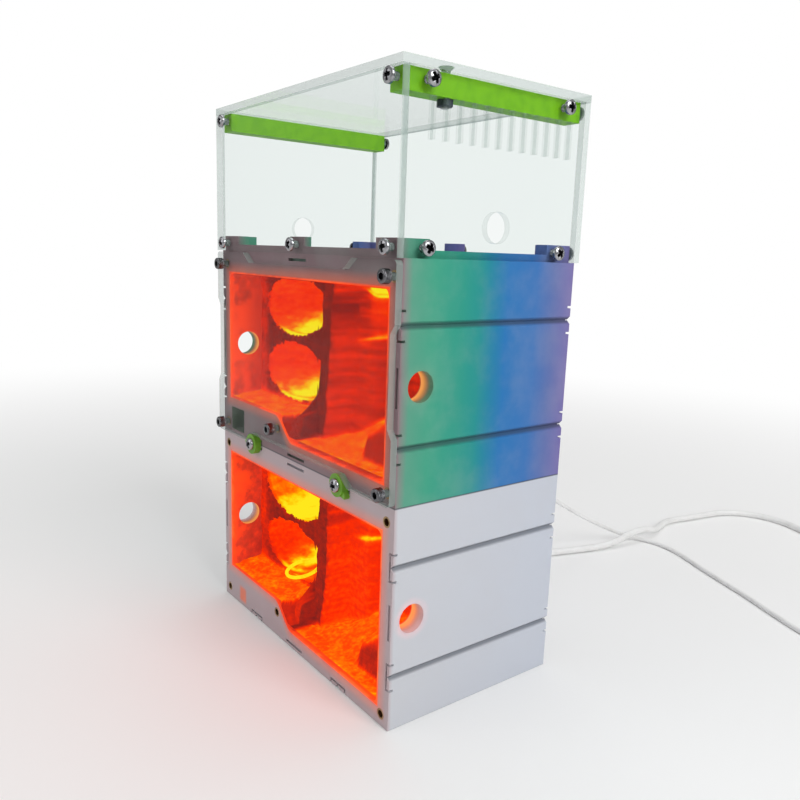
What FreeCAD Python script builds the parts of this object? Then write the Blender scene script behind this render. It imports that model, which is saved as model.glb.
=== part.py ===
"""Ant nest tower: two lit nest modules, clipped together, under a clear foraging box.

Millimetres. X runs along the windows, Y from the windows to the back, Z up. The origin is in the
middle of the rest face. Every sub-part is an object of the document, bound to the sheet "Sizes".
"""
import FreeCAD, Part
import math
import os
import re
import Sketcher

V = FreeCAD.Vector
doc = FreeCAD.newDocument("ant_nest_tower")
sheet = doc.addObject("Spreadsheet::Sheet", "Sizes")
pieces = []


# ---------------------------------------------------------------- driving dimensions

SIZES = {
    # nest module
    "module_width": 150,
    "module_depth": 90,
    "module_height": 92,
    "side_wall": 8,
    "floor_wall": 8,
    "roof_wall": 11,
    "window_round": 3,
    "sill_height": 10.7,
    "sill_edge": 16.6,
    "sill_foot": 6.2,
    "sill_round": 8,
    "tube_bore": 6,
    "tube_setback": 10,
    "tube_level": 45.5,
    # V grooves, bracket slots and pry slots of the outer faces
    "groove_width": 3.3,
    "groove_low": 22.6,
    "groove_high": 68.1,
    "groove_side": 38.5,
    "slot_length": 12,
    "slot_inset": 1.5,
    "slot_width": 1,
    "slot_depth": 2,
    "pry_length": 15,
    "pry_width": 1.2,
    "pry_roof": 2.7,
    "pry_floor": 1.8,
    "pry_side": 1.5,
    # hydration pocket in the sill
    "pocket_inset": 9,
    "pocket_width": 14,
    "pocket_floor": 2,
    "pocket_roof": 13.5,
    "pocket_depth": 12,
    # thread inserts and cover screws
    "insert_inset": 5,
    "insert_drop": 6.5,
    "insert_sill_side": 17,
    "insert_sill_level": 12,
    "insert_outer": 2.3,
    "insert_length": 6,
    "insert_seat": 0.02,
    # screws
    "screw_shank": 1.5,
    "screw_clearance": 0.05,
    "cap_radius": 2.75,
    "cap_height": 3,
    "cap_bevel": 0.3,
    "socket_radius": 1.45,
    "socket_depth": 1.8,
    "pan_radius": 2.9,
    "pan_height": 2.1,
    "pan_round": 1.1,
    "bite": 5,
    "bite_spare": 0.5,
    "weld": 1,
    "fit_gap": 0.3,
    # back cover, lamp and gland
    "cover_thickness": 3,
    "cover_rim": 5,
    "cover_lap": 3,
    "boss_size": 8,
    "boss_depth": 8,
    "low_head": 1.6,
    "head_clearance": 0.1,
    "gland_level": 14,
    "gland_neck": 3.5,
    "gland_flange": 5.5,
    "gland_reach": 6,
    "gland_lip": 1.5,
    "gland_rim": 4.5,
    "gland_rim_height": 1.2,
    "gland_shoulder": 2,
    "gland_wall": 0.5,
    "board_width": 104,
    "board_thickness": 1.6,
    "board_drop": 6,
    "post_side": 46,
    "post_spread": 22,
    "post_radius": 3,
    "post_length": 7.4,
    "lamp_radius": 2.5,
    "lamp_height": 3,
    "lamp_round": 1.5,
    "lamp_port": 4,
    # cave insert
    "cave_lip": 2,
    "cave_setback": 17,
    "cave_floor_rise": 1.6,
    "sill_floor_rise": 1.5,
    "chamber_drop": 13.7,
    "chamber_rise": 27.3,
    "chamber_wall": 6.2,
    "chamber_half_width": 27.8,
    "chamber_half_height": 15.2,
    "chamber_half_depth": 22.3,
    "chamber_sink": 6.7,
    "column_half": 6,
    "column_reach": 4.5,
    "foot_reach": 11,
    "foot_brow_reach": 8.5,
    "foot_brow": 6,
    "foot_neck_reach": 5,
    "foot_neck": 16,
    "foot_height": 30,
    "hall_depth": 9,
    "hall_ramp_rise": 7.5,
    "bay_left": 23,
    "bay_depth": 17,
    "bay_ramp_rise": 11,
    "ledge_level": 57,
    "alcove_depth": 9,
    "ramp_front": 9,
    "riser_left": 41.5,
    "riser_front": 6.5,
    "riser_lean": 3,
    "riser_height": 11,
    "riser_ramp_rise": 5,
    "hall_lamp_inset": 32,
    "hall_lamp_rise": 36,
    # clear front plate
    "plate_thickness": 3,
    "plate_gap": 0.6,
    "plate_round": 2,
    "notch_outer": 46.5,
    "notch_inner": 40.5,
    "notch_depth": 4.5,
    "side_notch_depth": 2.5,
    "side_notch_half": 21,
    "side_notch_level": 47.6,
    "side_notch_slope": 3.5,
    # joint clips
    "clip_radius": 4.9,
    "clip_thickness": 3,
    "clip_tip": 7.2,
    "clip_tip_width": 5,
    "clip_tip_flat": 1.2,
    "clip_tip_root": 3,
    "clip_tip_thickness": 2.4,
    "clip_shank": 1.1,
    "clip_bite": 9,
    "lip_length": 8,
    "lip_depth": 1.8,
    "lip_gap": 0.1,
    # foraging box
    "pane_thickness": 3,
    "pane_height": 64,
    "rim_rise": 3,
    "rim_boss": 7,
    "boss_leg": 14,
    "boss_leg_width": 6,
    "mid_boss": 6,
    "pane_screw_low": 3.7,
    "pane_screw_inset": 7,
    "side_screw_low": 10.6,
    "side_screw_high": 10,
    "bar_width": 8,
    "bar_height": 8,
    "bar_screw_drop": 3.4,
    "vent_count": 12,
    "vent_pitch": 6.44,
    "vent_width": 1.1,
    "vent_bottom": 41,
    "vent_top": 55.4,
    "vent_start": 33.5,
    "box_tube_level": 12.3,
    "lid_thickness": 3,
    "pivot_setback": 21.5,
    "pivot_clearance": 0.08,
    "pivot_head": 2.9,
    "pivot_head_height": 1.4,
    "nut_across": 5.5,
    "nut_height": 2.4,
    "pivot_end": 0.6,
    # leads
    "thin_lead": 2.4,
    "thick_lead": 4.2,
    "lead_clearance": 0.05,
    "lead_crossing": 3,
    "coil_lanes": 3,
    "thin_coil_radius": 13.5,
    "thick_coil_radius": 23,
    "tie_skin": 1,
    "tie_width": 6,
    "tie_gap": 0.3,
    "plug_length": 20,
    "plug_width": 14,
    "plug_height": 7,
    "plug_round": 2,
    "tongue_length": 11.5,
    "tongue_width": 12,
    "tongue_height": 4.5,
}
for row, (word, number) in enumerate(SIZES.items(), start=1):
    sheet.set("A%d" % row, word)
    sheet.set("B%d" % row, str(number))
    sheet.setAlias("B%d" % row, word)


def bound(text):
    """The expression with every size written as a reference to the sheet."""
    words = re.compile(r"[a-z][a-z_]*")
    return words.sub(lambda m: "Sizes." + m.group() if m.group() in SIZES else m.group(), str(text))


def at(text):
    """The present value of an expression."""
    return float(sheet.evalExpression(bound(text)))


doc.recompute()


# ---------------------------------------------------------------- sketches and features

def body(label, level="0"):
    """A new sub-part whose own zero level stands at the given height."""
    b = doc.addObject("PartDesign::Body", label)
    b.Label = label
    b.setExpression("Placement.Base.z", bound(level))
    pieces.append(b)
    return b


def sketch(b, role, offset="0"):
    """A sketch on an origin plane of its body, moved along the plane's normal."""
    s = b.newObject("Sketcher::SketchObject", "Sketch")
    plane = [f for f in b.Origin.OriginFeatures if f.Role == role][0]
    s.AttachmentSupport = [(plane, "")]
    s.MapMode = "FlatFace"
    s.setExpression("AttachmentOffset.Base.z", bound(offset))
    return s


def hold(s, kind, edge, end, text):
    """Tie a point's coordinate to an expression."""
    row = s.addConstraint(Sketcher.Constraint(kind, -1, 1, edge, end, at(text)))
    s.setExpression("Constraints[%d]" % row, bound(text))


def closed(s, points):
    """A closed outline of straight lines through points given as pairs of expressions."""
    first = s.GeometryCount
    count = len(points)
    places = [V(at(x), at(y), 0) for x, y in points]
    s.addGeometry([Part.LineSegment(places[i], places[(i + 1) % count]) for i in range(count)])
    for i in range(count):
        s.addConstraint(Sketcher.Constraint("Coincident", first + i, 2, first + (i + 1) % count, 1))
    for i, (x, y) in enumerate(points):
        hold(s, "DistanceX", first + i, 1, x)
        hold(s, "DistanceY", first + i, 1, y)


def block(s, left, right, low, high):
    """A rectangle between two columns and two levels."""
    closed(s, [(left, low), (right, low), (right, high), (left, high)])


def ring(s, x, y, radius):
    """A circle."""
    circle = s.addGeometry(Part.Circle(V(at(x), at(y), 0), V(0, 0, 1), at(radius)))
    hold(s, "DistanceX", circle, 3, x)
    hold(s, "DistanceY", circle, 3, y)
    row = s.addConstraint(Sketcher.Constraint("Radius", circle, at(radius)))
    s.setExpression("Constraints[%d]" % row, bound(radius))


def hexagon(s, x, y, radius):
    """A hexagon with its corners on a circle, two of its sides upright."""
    turns = ["%g" % (60 * corner + 30) for corner in range(6)]
    closed(s, [("(%s) + (%s)*cos(%s)" % (x, radius, turn), "(%s) + (%s)*sin(%s)" % (y, radius, turn))
               for turn in turns])


def half_disc(s, x, y, radius, turn):
    """A half circle whose flat side is on the level y; turn is 1 above it and -1 below it."""
    start = 0 if turn > 0 else math.pi
    centre = V(at(x), at(y), 0)
    circle = Part.Circle(centre, V(0, 0, 1), at(radius))
    arc = s.addGeometry(Part.ArcOfCircle(circle, start, start + math.pi))
    side = V(at(radius), 0, 0)
    flat = s.addGeometry(Part.LineSegment(centre - side * turn, centre + side * turn))
    s.addConstraint(Sketcher.Constraint("Coincident", arc, 2, flat, 1))
    s.addConstraint(Sketcher.Constraint("Coincident", arc, 1, flat, 2))
    s.addConstraint(Sketcher.Constraint("PointOnObject", arc, 3, flat))
    s.addConstraint(Sketcher.Constraint("Horizontal", flat))
    hold(s, "DistanceX", arc, 3, x)
    hold(s, "DistanceY", arc, 3, y)
    row = s.addConstraint(Sketcher.Constraint("Radius", arc, at(radius)))
    s.setExpression("Constraints[%d]" % row, bound(radius))


def pad(b, s, length, back=False):
    """Material from the sketch along its normal, or the other way."""
    p = b.newObject("PartDesign::Pad", "Pad")
    p.Profile = s
    p.setExpression("Length", bound(length))
    p.Reversed = back
    doc.recompute()
    return p


def cut(b, s, depth=None, along=False):
    """A pocket against the sketch's normal, or along it; all the way through without a depth."""
    before = b.Shape.Volume
    p = b.newObject("PartDesign::Pocket", "Pocket")
    p.Profile = s
    p.Reversed = along
    if depth is None:
        p.Type = "ThroughAll"
    else:
        p.setExpression("Length", bound(depth))
    doc.recompute()
    if not b.Shape.Volume < before - 0.01:
        raise RuntimeError("a pocket of %s cuts nothing" % b.Label)
    return p


def turned(b, s, axis):
    """Material turned about one of the body's own axes."""
    line = [f for f in b.Origin.OriginFeatures if f.Role == axis][0]
    r = b.newObject("PartDesign::Revolution", "Revolution")
    r.Profile = s
    r.ReferenceAxis = (line, [""])
    r.Angle = 360
    doc.recompute()
    return r


def straight(feature, axis, spots):
    """Names of the feature's straight edges along an axis (0, 1, 2) through the spots."""
    others = [i for i in range(3) if i != axis]
    found = []
    for i, edge in enumerate(feature.Shape.Edges):
        if not isinstance(edge.Curve, Part.Line):
            continue
        if abs(abs(edge.Curve.Direction[axis]) - 1) > 1e-6:
            continue
        place = [edge.Vertexes[0].Point[k] for k in others]
        for spot in spots:
            if max(abs(place[0] - at(spot[0])), abs(place[1] - at(spot[1]))) < 0.02:
                found.append("Edge%d" % (i + 1))
    return found


def rounded(b, feature, radius, edges):
    """A fillet on the named edges."""
    f = b.newObject("PartDesign::Fillet", "Fillet")
    f.Base = (feature, edges)
    f.setExpression("Radius", bound(radius))
    doc.recompute()
    return f


def bevelled(b, feature, width, edges):
    """A chamfer on the named edges."""
    f = b.newObject("PartDesign::Chamfer", "Chamfer")
    f.Base = (feature, edges)
    f.setExpression("Size", bound(width))
    doc.recompute()
    return f


def circles_at(feature, axis, level, radius):
    """Names of the feature's full circles of one radius that lie in a plane across an axis."""
    found = []
    for i, edge in enumerate(feature.Shape.Edges):
        if not isinstance(edge.Curve, Part.Circle):
            continue
        if abs(edge.Curve.Radius - at(radius)) > 0.01:
            continue
        if abs(edge.Curve.Center[axis] - at(level)) < 0.01:
            found.append("Edge%d" % (i + 1))
    return found


FRONT = "module_depth/2"            # sketch offset of the front face on the XZ plane
BACK = "-module_depth/2"
HALF = "module_width/2"
SIDES = ("-", "")
ARENA = "2*module_height"
HOLE = "screw_shank + screw_clearance"
ROOF = "(module_height - roof_wall)"
COVER_SEAT = "(module_depth/2 - cover_thickness)"
CAVE_DEPTH = "(module_depth - cover_thickness - post_length - board_thickness - cave_setback)"
BOARD_FACE = "(%s - post_length - board_thickness)" % COVER_SEAT
BOARD_LOW = "(floor_wall + sill_height + fit_gap)"
BOARD_HIGH = "(%s - board_drop)" % ROOF
PANE_SCREW_SIDE = "(%s - pane_screw_inset)" % HALF
INSERT_SIDE = "(%s - insert_inset)" % HALF
INSERTS = [(sign + INSERT_SIDE, level) for sign in SIDES
           for level in ("insert_inset", "module_height - insert_drop")]
INSERTS.append(("-insert_sill_side", "insert_sill_level"))


# ---------------------------------------------------------------- nest module shell

def window(gap="0"):
    """The window outline with its raised sill on the left, drawn in by a gap."""
    side = "module_width/2 - side_wall - (%s)" % gap
    roof = "%s - (%s)" % (ROOF, gap)
    floor = "floor_wall + (%s)" % gap
    sill = "floor_wall + sill_height + (%s)" % gap
    return [("-(%s)" % side, roof), ("-(%s)" % side, sill), ("-sill_edge + (%s)" % gap, sill),
            ("-sill_foot + (%s)" % gap, floor), (side, floor), (side, roof)]


def round_window(b, feature, gap="0"):
    """Round the window's corners: small ones, and the long curve of the sill's end."""
    spots = window(gap)
    feature = rounded(b, feature, "window_round", straight(feature, 1, spots[:2] + spots[4:]))
    return rounded(b, feature, "sill_round", straight(feature, 1, spots[2:4]))


def grooves(with_top):
    """V grooves: triangles on both sides, on the floor and, where it is bare, on the top."""
    half = "groove_width/2"
    out = []
    for sign in SIDES:
        for level in ("groove_low", "groove_high"):
            face = sign + HALF
            deep = "%s(%s - %s)" % (sign, HALF, half)
            out.append([(face, "%s - %s" % (level, half)), (deep, level), (face, "%s + %s" % (level, half))])
        faces = [("0", half)]
        if with_top:
            faces.append(("module_height", "module_height - " + half))
        for face, deep in faces:
            middle = sign + "groove_side"
            ends = ["%s %s %s" % (middle, way, half) for way in "-+"]
            out.append([(ends[0], face), (middle, deep), (ends[1], face)])
    return out


def brackets(with_top):
    """Bracket-shaped slots round the ends of the grooves, open to the face beside them."""
    long = "slot_length/2"
    deep = "(slot_inset + slot_width)"
    out = []
    for sign in SIDES:
        outer = sign + HALF
        back = "%s(%s - %s)" % (sign, HALF, deep)
        front = "%s(%s - slot_inset)" % (sign, HALF)
        for level in ("groove_low", "groove_high"):
            top = "%s + %s" % (level, long)
            low = "%s - %s" % (level, long)
            out.append([(outer, top), (back, top), (back, low), (outer, low),
                        (outer, low + " + slot_width"), (front, low + " + slot_width"),
                        (front, top + " - slot_width"), (outer, top + " - slot_width")])
        levels = [("0", deep, "slot_inset")]
        if with_top:
            levels.append(("module_height", "module_height - " + deep, "module_height - slot_inset"))
        for outer_z, back_z, front_z in levels:
            right = "%sgroove_side + %s" % (sign, long)
            left = "%sgroove_side - %s" % (sign, long)
            out.append([(right, outer_z), (right, back_z), (left, back_z), (left, outer_z),
                        (left + " + slot_width", outer_z), (left + " + slot_width", front_z),
                        (right + " - slot_width", front_z), (right + " - slot_width", outer_z)])
    return out


def pry_slots(s):
    """A thin slot in the middle of each side of the front face."""
    half = "pry_width/2"
    for level in ("module_height - pry_roof", "pry_floor"):
        block(s, "-pry_length/2", "pry_length/2", "%s - %s" % (level, half), "%s + %s" % (level, half))
    for sign in SIDES:
        middle = "%s(%s - pry_side)" % (sign, HALF)
        block(s, "%s - %s" % (middle, half), "%s + %s" % (middle, half),
              "tube_level - pry_length/2", "tube_level + pry_length/2")


def nest_body(label, level, carries_arena, wick_pocket):
    """The printed shell: hollow from window to back, with its grooves, slots, bores and bosses."""
    b = body(label, level)
    s = sketch(b, "XY_Plane")
    block(s, "-" + HALF, HALF, BACK, FRONT)
    last = pad(b, s, "module_height")
    if carries_arena:
        last = arena_rim(b)

    s = sketch(b, "XZ_Plane", FRONT)
    closed(s, window())
    last = cut(b, s, "module_depth - cover_thickness")
    last = round_window(b, last)

    s = sketch(b, "XZ_Plane", BACK)
    block(s, "-(%s - cover_rim)" % HALF, HALF + " - cover_rim", "cover_rim", ROOF + " + cover_lap")
    last = cut(b, s, "cover_thickness", along=True)
    back_bosses(b)

    s = sketch(b, "XZ_Plane", FRONT)
    for corner in grooves(not carries_arena):
        closed(s, corner)
    cut(b, s)
    for face, along in ((FRONT, False), (BACK, True)):
        s = sketch(b, "XZ_Plane", face)
        for slot in brackets(not carries_arena):
            closed(s, slot)
        cut(b, s, "slot_depth", along)

    s = sketch(b, "XZ_Plane", FRONT)
    pry_slots(s)
    cut(b, s, "slot_depth")
    if wick_pocket:
        s = sketch(b, "XZ_Plane", FRONT)
        outer = "-(%s - pocket_inset)" % HALF
        block(s, outer, outer + " + pocket_width", "pocket_floor", "pocket_roof")
        cut(b, s, "pocket_depth")
    s = sketch(b, "XZ_Plane", FRONT)
    for x, z in INSERTS:
        ring(s, x, z, "insert_outer")
    cut(b, s, "insert_length")
    s = sketch(b, "XZ_Plane", FRONT + " - insert_length")
    for x, z in INSERTS:
        ring(s, x, z, HOLE)
    cut(b, s, "bite")
    s = sketch(b, "YZ_Plane", HALF)
    ring(s, "tube_setback - module_depth/2", "tube_level", "tube_bore")
    cut(b, s)
    return b


def back_bosses(b):
    """Screw bosses in the four corners of the hollow, flush with the seat of the back cover."""
    s = sketch(b, "XZ_Plane", "-" + COVER_SEAT)
    inner = "(%s - side_wall - boss_size)" % HALF
    for sign in SIDES:
        for low, high in (("floor_wall - weld", "floor_wall + boss_size"),
                          (ROOF + " - boss_size", ROOF + " + weld")):
            ends = [sign + inner, "%s(%s + boss_size + weld)" % (sign, inner)]
            if sign == "-":
                ends.reverse()
            block(s, ends[0], ends[1], low, high)
    pad(b, s, "boss_depth")
    s = sketch(b, "XZ_Plane", "-" + COVER_SEAT)
    for x, z in cover_screws_at():
        ring(s, x, z, HOLE)
    cut(b, s, "bite + bite_spare", along=True)


def cover_screws_at():
    """Places of the four screws of the back cover."""
    side = "(%s - side_wall - boss_size/2)" % HALF
    return [(sign + side, level) for sign in SIDES
            for level in ("floor_wall + boss_size/2", ROOF + " - boss_size/2")]


def arena_rim(b):
    """The raised rim under the foraging box: a low plug, corner legs and two half-round bosses."""
    side = "(%s - pane_thickness)" % HALF
    s = sketch(b, "XY_Plane", "module_height")
    block(s, "-" + side, side, BACK, FRONT)
    pad(b, s, "rim_rise")
    s = sketch(b, "XY_Plane", "module_height")
    for sign in SIDES:
        for end in SIDES:
            x = lambda inset: "%s(%s - %s)" % (sign, side, inset)
            y = lambda inset: "%s(module_depth/2 - %s)" % (end, inset)
            closed(s, [(x("0"), y("0")), (x("boss_leg"), y("0")), (x("boss_leg"), y("boss_leg_width")),
                       (x("boss_leg_width"), y("boss_leg_width")), (x("boss_leg_width"), y("boss_leg")),
                       (x("0"), y("boss_leg"))])
    half_disc(s, "0", BACK, "mid_boss", 1)
    half_disc(s, "0", FRONT, "mid_boss", -1)
    last = pad(b, s, "rim_boss")
    screw_level = "module_height + pane_screw_low"
    for face, along in ((FRONT, False), (BACK, True)):
        s = sketch(b, "XZ_Plane", face)
        for x in ("-" + PANE_SCREW_SIDE, "0", PANE_SCREW_SIDE):
            ring(s, x, screw_level, HOLE)
        last = cut(b, s, "bite + bite_spare", along)
    for sign, along in (("", False), ("-", True)):
        s = sketch(b, "YZ_Plane", sign + side)
        for y in SIDES:
            ring(s, "%s(module_depth/2 - side_screw_low)" % y, screw_level, HOLE)
        last = cut(b, s, "bite + bite_spare", along)
    return last


# ---------------------------------------------------------------- inside and front of a module

CHAMBER_X = "-(%s - side_wall - chamber_wall - chamber_half_width)" % HALF
CHAMBERS = ((CHAMBER_X, "(%s - chamber_drop)" % ROOF), (CHAMBER_X, "(floor_wall + chamber_rise)"))
LAMPS = CHAMBERS + (("(%s - side_wall - hall_lamp_inset)" % HALF, "(floor_wall + hall_lamp_rise)"),)


def strips():
    """The cave's side outlines, strip by strip across the width. Each is the air in front of the
    rock: pairs of the distance behind the front face and the level, from the floor upwards."""
    rock = "cave_setback"
    column = "cave_setback - column_reach"
    hall = "cave_setback + hall_depth"
    bay = "cave_setback + bay_depth"
    alcove = "cave_setback + bay_depth + alcove_depth"
    ledge = "ledge_level"
    floor = "floor_wall + fit_gap + cave_floor_rise"
    sill = "floor_wall + sill_height + fit_gap"
    crest = floor + " + riser_height"
    foot = [("0", floor), (rock + " - foot_reach", floor),
            (rock + " - foot_brow_reach", floor + " + foot_brow")]
    side = "%s - side_wall" % HALF
    sill_end = "-(sill_edge + sill_foot)/2"
    return (("-(%s)" % side, sill_end, [("0", sill), (rock, sill + " + sill_floor_rise"), (rock, "")]),
            (sill_end, "-column_half", foot + [(rock, floor + " + foot_height"), (rock, "")]),
            ("-column_half", "column_half", foot + [(rock + " - foot_neck_reach", floor + " + foot_neck"),
                                                    (column, floor + " + foot_height"), (column, "")]),
            ("column_half", "bay_left", [("0", floor), ("ramp_front", floor),
                                         (hall, floor + " + hall_ramp_rise"), (hall, "")]),
            ("bay_left", "riser_left", [("0", floor), ("ramp_front", floor),
                                        (bay, floor + " + bay_ramp_rise"),
                                        (bay, ledge), (alcove, ledge), (alcove, "")]),
            ("riser_left", side, [("0", floor), ("riser_front", floor), ("riser_front + riser_lean", crest),
                                  (bay, crest + " + riser_ramp_rise"), (bay, ledge), (alcove, ledge),
                                  (alcove, "")]))


def cave_insert(label, level):
    """The carved cave: a block with the window's outline, hewn away strip by strip in front, with
    two round chambers over each other and a port for each lamp."""
    b = body(label, level)
    s = sketch(b, "XZ_Plane", FRONT + " - cave_lip")
    closed(s, window("fit_gap"))
    last = pad(b, s, "cave_setback - cave_lip + " + CAVE_DEPTH, back=True)
    round_window(b, last, "fit_gap")
    for left, right, outline in strips():
        s = sketch(b, "YZ_Plane", right)
        corners = [("%s - %s" % (behind, FRONT), level or "module_height") for behind, level in outline]
        closed(s, corners + [("-" + FRONT, "module_height")])
        cut(b, s, "%s - (%s)" % (right, left))
    for x, z in CHAMBERS:
        chamber(b, x, z)
    s = sketch(b, "XZ_Plane", FRONT + " - cave_setback")
    for x, z in LAMPS:
        ring(s, x, z, "lamp_port")
    cut(b, s)


def chamber(b, x, z):
    """A round chamber: an ellipsoid whose middle lies a little behind the rock face."""
    before = b.Shape.Volume
    hollow = b.newObject("PartDesign::SubtractiveEllipsoid", "Chamber")
    hollow.setExpression("Radius1", bound("chamber_half_depth"))
    hollow.setExpression("Radius2", bound("chamber_half_width"))
    hollow.setExpression("Radius3", bound("chamber_half_height"))
    hollow.setExpression("AttachmentOffset.Base.x", bound(x))
    hollow.setExpression("AttachmentOffset.Base.y", bound(z))
    hollow.setExpression("AttachmentOffset.Base.z", bound(FRONT + " - cave_setback - chamber_sink"))
    plane = [f for f in b.Origin.OriginFeatures if f.Role == "XZ_Plane"][0]
    hollow.AttachmentSupport = [(plane, "")]
    hollow.MapMode = "FlatFace"
    doc.recompute()
    half = 2 * math.pi / 3 * hollow.Radius1.Value * hollow.Radius2.Value * hollow.Radius3.Value
    if not b.Shape.Volume < before - half:
        raise RuntimeError("a chamber of %s is not cut" % b.Label)


def lamp_board(prefix, level):
    """The lamp's board behind the cave, and its lamps, one in each port."""
    b = body(prefix + "_lamp_board", level)
    s = sketch(b, "XZ_Plane", "-" + BOARD_FACE)
    block(s, "-board_width/2", "board_width/2", BOARD_LOW, BOARD_HIGH)
    pad(b, s, "board_thickness", back=True)
    b = body(prefix + "_lamps", level)
    s = sketch(b, "XZ_Plane", "-" + BOARD_FACE)
    for x, z in LAMPS:
        ring(s, x, z, "lamp_radius")
    last = pad(b, s, "lamp_height")
    top = BOARD_FACE + " - lamp_height"
    rounded(b, last, "lamp_round", circles_at(last, 1, top, "lamp_radius"))


def back_cover(prefix, level, lead):
    """The inset back cover with its four posts, its screws and the gland for the lead."""
    b = body(prefix + "_back_cover", level)
    side = "(%s - cover_rim - fit_gap)" % HALF
    s = sketch(b, "XZ_Plane", "-" + COVER_SEAT)
    block(s, "-" + side, side, "cover_rim + fit_gap", ROOF + " + cover_lap - fit_gap")
    for x, z in cover_screws_at():
        ring(s, x, z, HOLE)
    ring(s, "0", "gland_level", "gland_neck + screw_clearance")
    pad(b, s, "cover_thickness", back=True)
    s = sketch(b, "XZ_Plane", BACK)
    for x, z in cover_screws_at():
        ring(s, x, z, "cap_radius + head_clearance")
    cut(b, s, "low_head", along=True)
    s = sketch(b, "XZ_Plane", "-" + COVER_SEAT)
    for x in SIDES:
        for z in ("-", "+"):
            ring(s, x + "post_side", "(%s + %s)/2 %s post_spread" % (BOARD_LOW, BOARD_HIGH, z), "post_radius")
    pad(b, s, "post_length")

    b = body(prefix + "_back_screws", level)
    s = sketch(b, "XZ_Plane", BACK + " + low_head")
    for x, z in cover_screws_at():
        ring(s, x, z, "cap_radius")
    pad(b, s, "low_head", back=True)
    s = sketch(b, "XZ_Plane", BACK + " + low_head")
    for x, z in cover_screws_at():
        ring(s, x, z, "screw_shank")
    pad(b, s, "cover_thickness - low_head + bite")

    b = body(prefix + "_cable_gland", level)
    s = sketch(b, "YZ_Plane")
    near = "module_depth/2"
    closed(s, [(COVER_SEAT + " - gland_lip", "0"), (COVER_SEAT + " - gland_lip", "gland_flange"),
               (COVER_SEAT, "gland_flange"), (COVER_SEAT, "gland_neck"),
               (near, "gland_neck"), (near, "gland_rim"), (near + " + gland_rim_height", "gland_rim"),
               (near + " + gland_shoulder", "gland_neck"),
               (near + " + gland_reach", lead + "/2 + gland_wall"), (near + " + gland_reach", "0")])
    turned(b, s, "Y_Axis")
    b.setExpression("Placement.Base.z", bound("(%s) + gland_level" % level))


def thread_inserts(prefix, level):
    """Brass thread inserts, flush with the front face."""
    b = body(prefix + "_thread_inserts", level)
    s = sketch(b, "XZ_Plane", FRONT)
    for x, z in INSERTS:
        ring(s, x, z, "insert_outer - insert_seat")
        ring(s, x, z, HOLE)
    pad(b, s, "insert_length", back=True)


def cover_plate(level):
    """The clear front plate, with a flat notch in each of its four edges."""
    b = body("front_cover_plate", level)
    low = "plate_gap"
    high = "module_height - plate_gap"
    rise = "plate_gap + notch_depth"
    fall = "module_height - plate_gap - notch_depth"
    top = "side_notch_level + side_notch_half"
    bottom = "side_notch_level - side_notch_half"
    inner = "(%s - side_notch_depth)" % HALF
    right = [("notch_inner", rise), ("notch_outer", low), (HALF, low), (HALF, bottom),
             (inner, bottom + " + side_notch_slope"), (inner, top + " - side_notch_slope"), (HALF, top),
             (HALF, high), ("notch_outer", high), ("notch_inner", fall)]
    left = [("-" + x, z) for x, z in reversed(right)]
    s = sketch(b, "XZ_Plane", FRONT)
    closed(s, right + left)
    for x, z in INSERTS:
        ring(s, x, z, HOLE)
    last = pad(b, s, "plate_thickness")
    corners = [(sign + HALF, level) for sign in SIDES for level in (low, high)]
    rounded(b, last, "plate_round", straight(last, 1, corners))


# ---------------------------------------------------------------- screws

def screws(label, level, role, seats):
    """A set of equal pan-head screws. A seat is a sketch offset, the way the shank points along
    the sketch's normal (True or False) and the screws' places."""
    b = body(label, level)
    for offset, inward, places in seats:
        s = sketch(b, role, offset)
        for x, y in places:
            ring(s, x, y, "pan_radius")
        last = pad(b, s, "pan_height", back=inward)
        axis = 1 if role == "XZ_Plane" else 0
        way = -1 if role == "XZ_Plane" else 1
        out = -1 if inward else 1
        top = "%d*(%s + %d*pan_height)" % (way, offset, out)
        rounded(b, last, "pan_round", circles_at(last, axis, top, "pan_radius"))
        s = sketch(b, role, offset)
        for x, y in places:
            ring(s, x, y, "screw_shank")
        pad(b, s, "pane_thickness + bite", back=not inward)
    return b


def cap_screws(level):
    """The socket cap screws of the front plate."""
    b = body("front_cover_screws", level)
    face = FRONT + " + plate_thickness"
    s = sketch(b, "XZ_Plane", face)
    for x, z in INSERTS:
        ring(s, x, z, "cap_radius")
    last = pad(b, s, "cap_height")
    top = "-(%s + cap_height)" % face
    last = bevelled(b, last, "cap_bevel", circles_at(last, 1, top, "cap_radius"))
    s = sketch(b, "XZ_Plane", face)
    for x, z in INSERTS:
        ring(s, x, z, "screw_shank")
    pad(b, s, "plate_thickness + bite", back=True)
    s = sketch(b, "XZ_Plane", face + " + cap_height")
    for x, z in INSERTS:
        hexagon(s, x, z, "socket_radius")
    cut(b, s, "socket_depth")


# ---------------------------------------------------------------- joint clips

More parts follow.
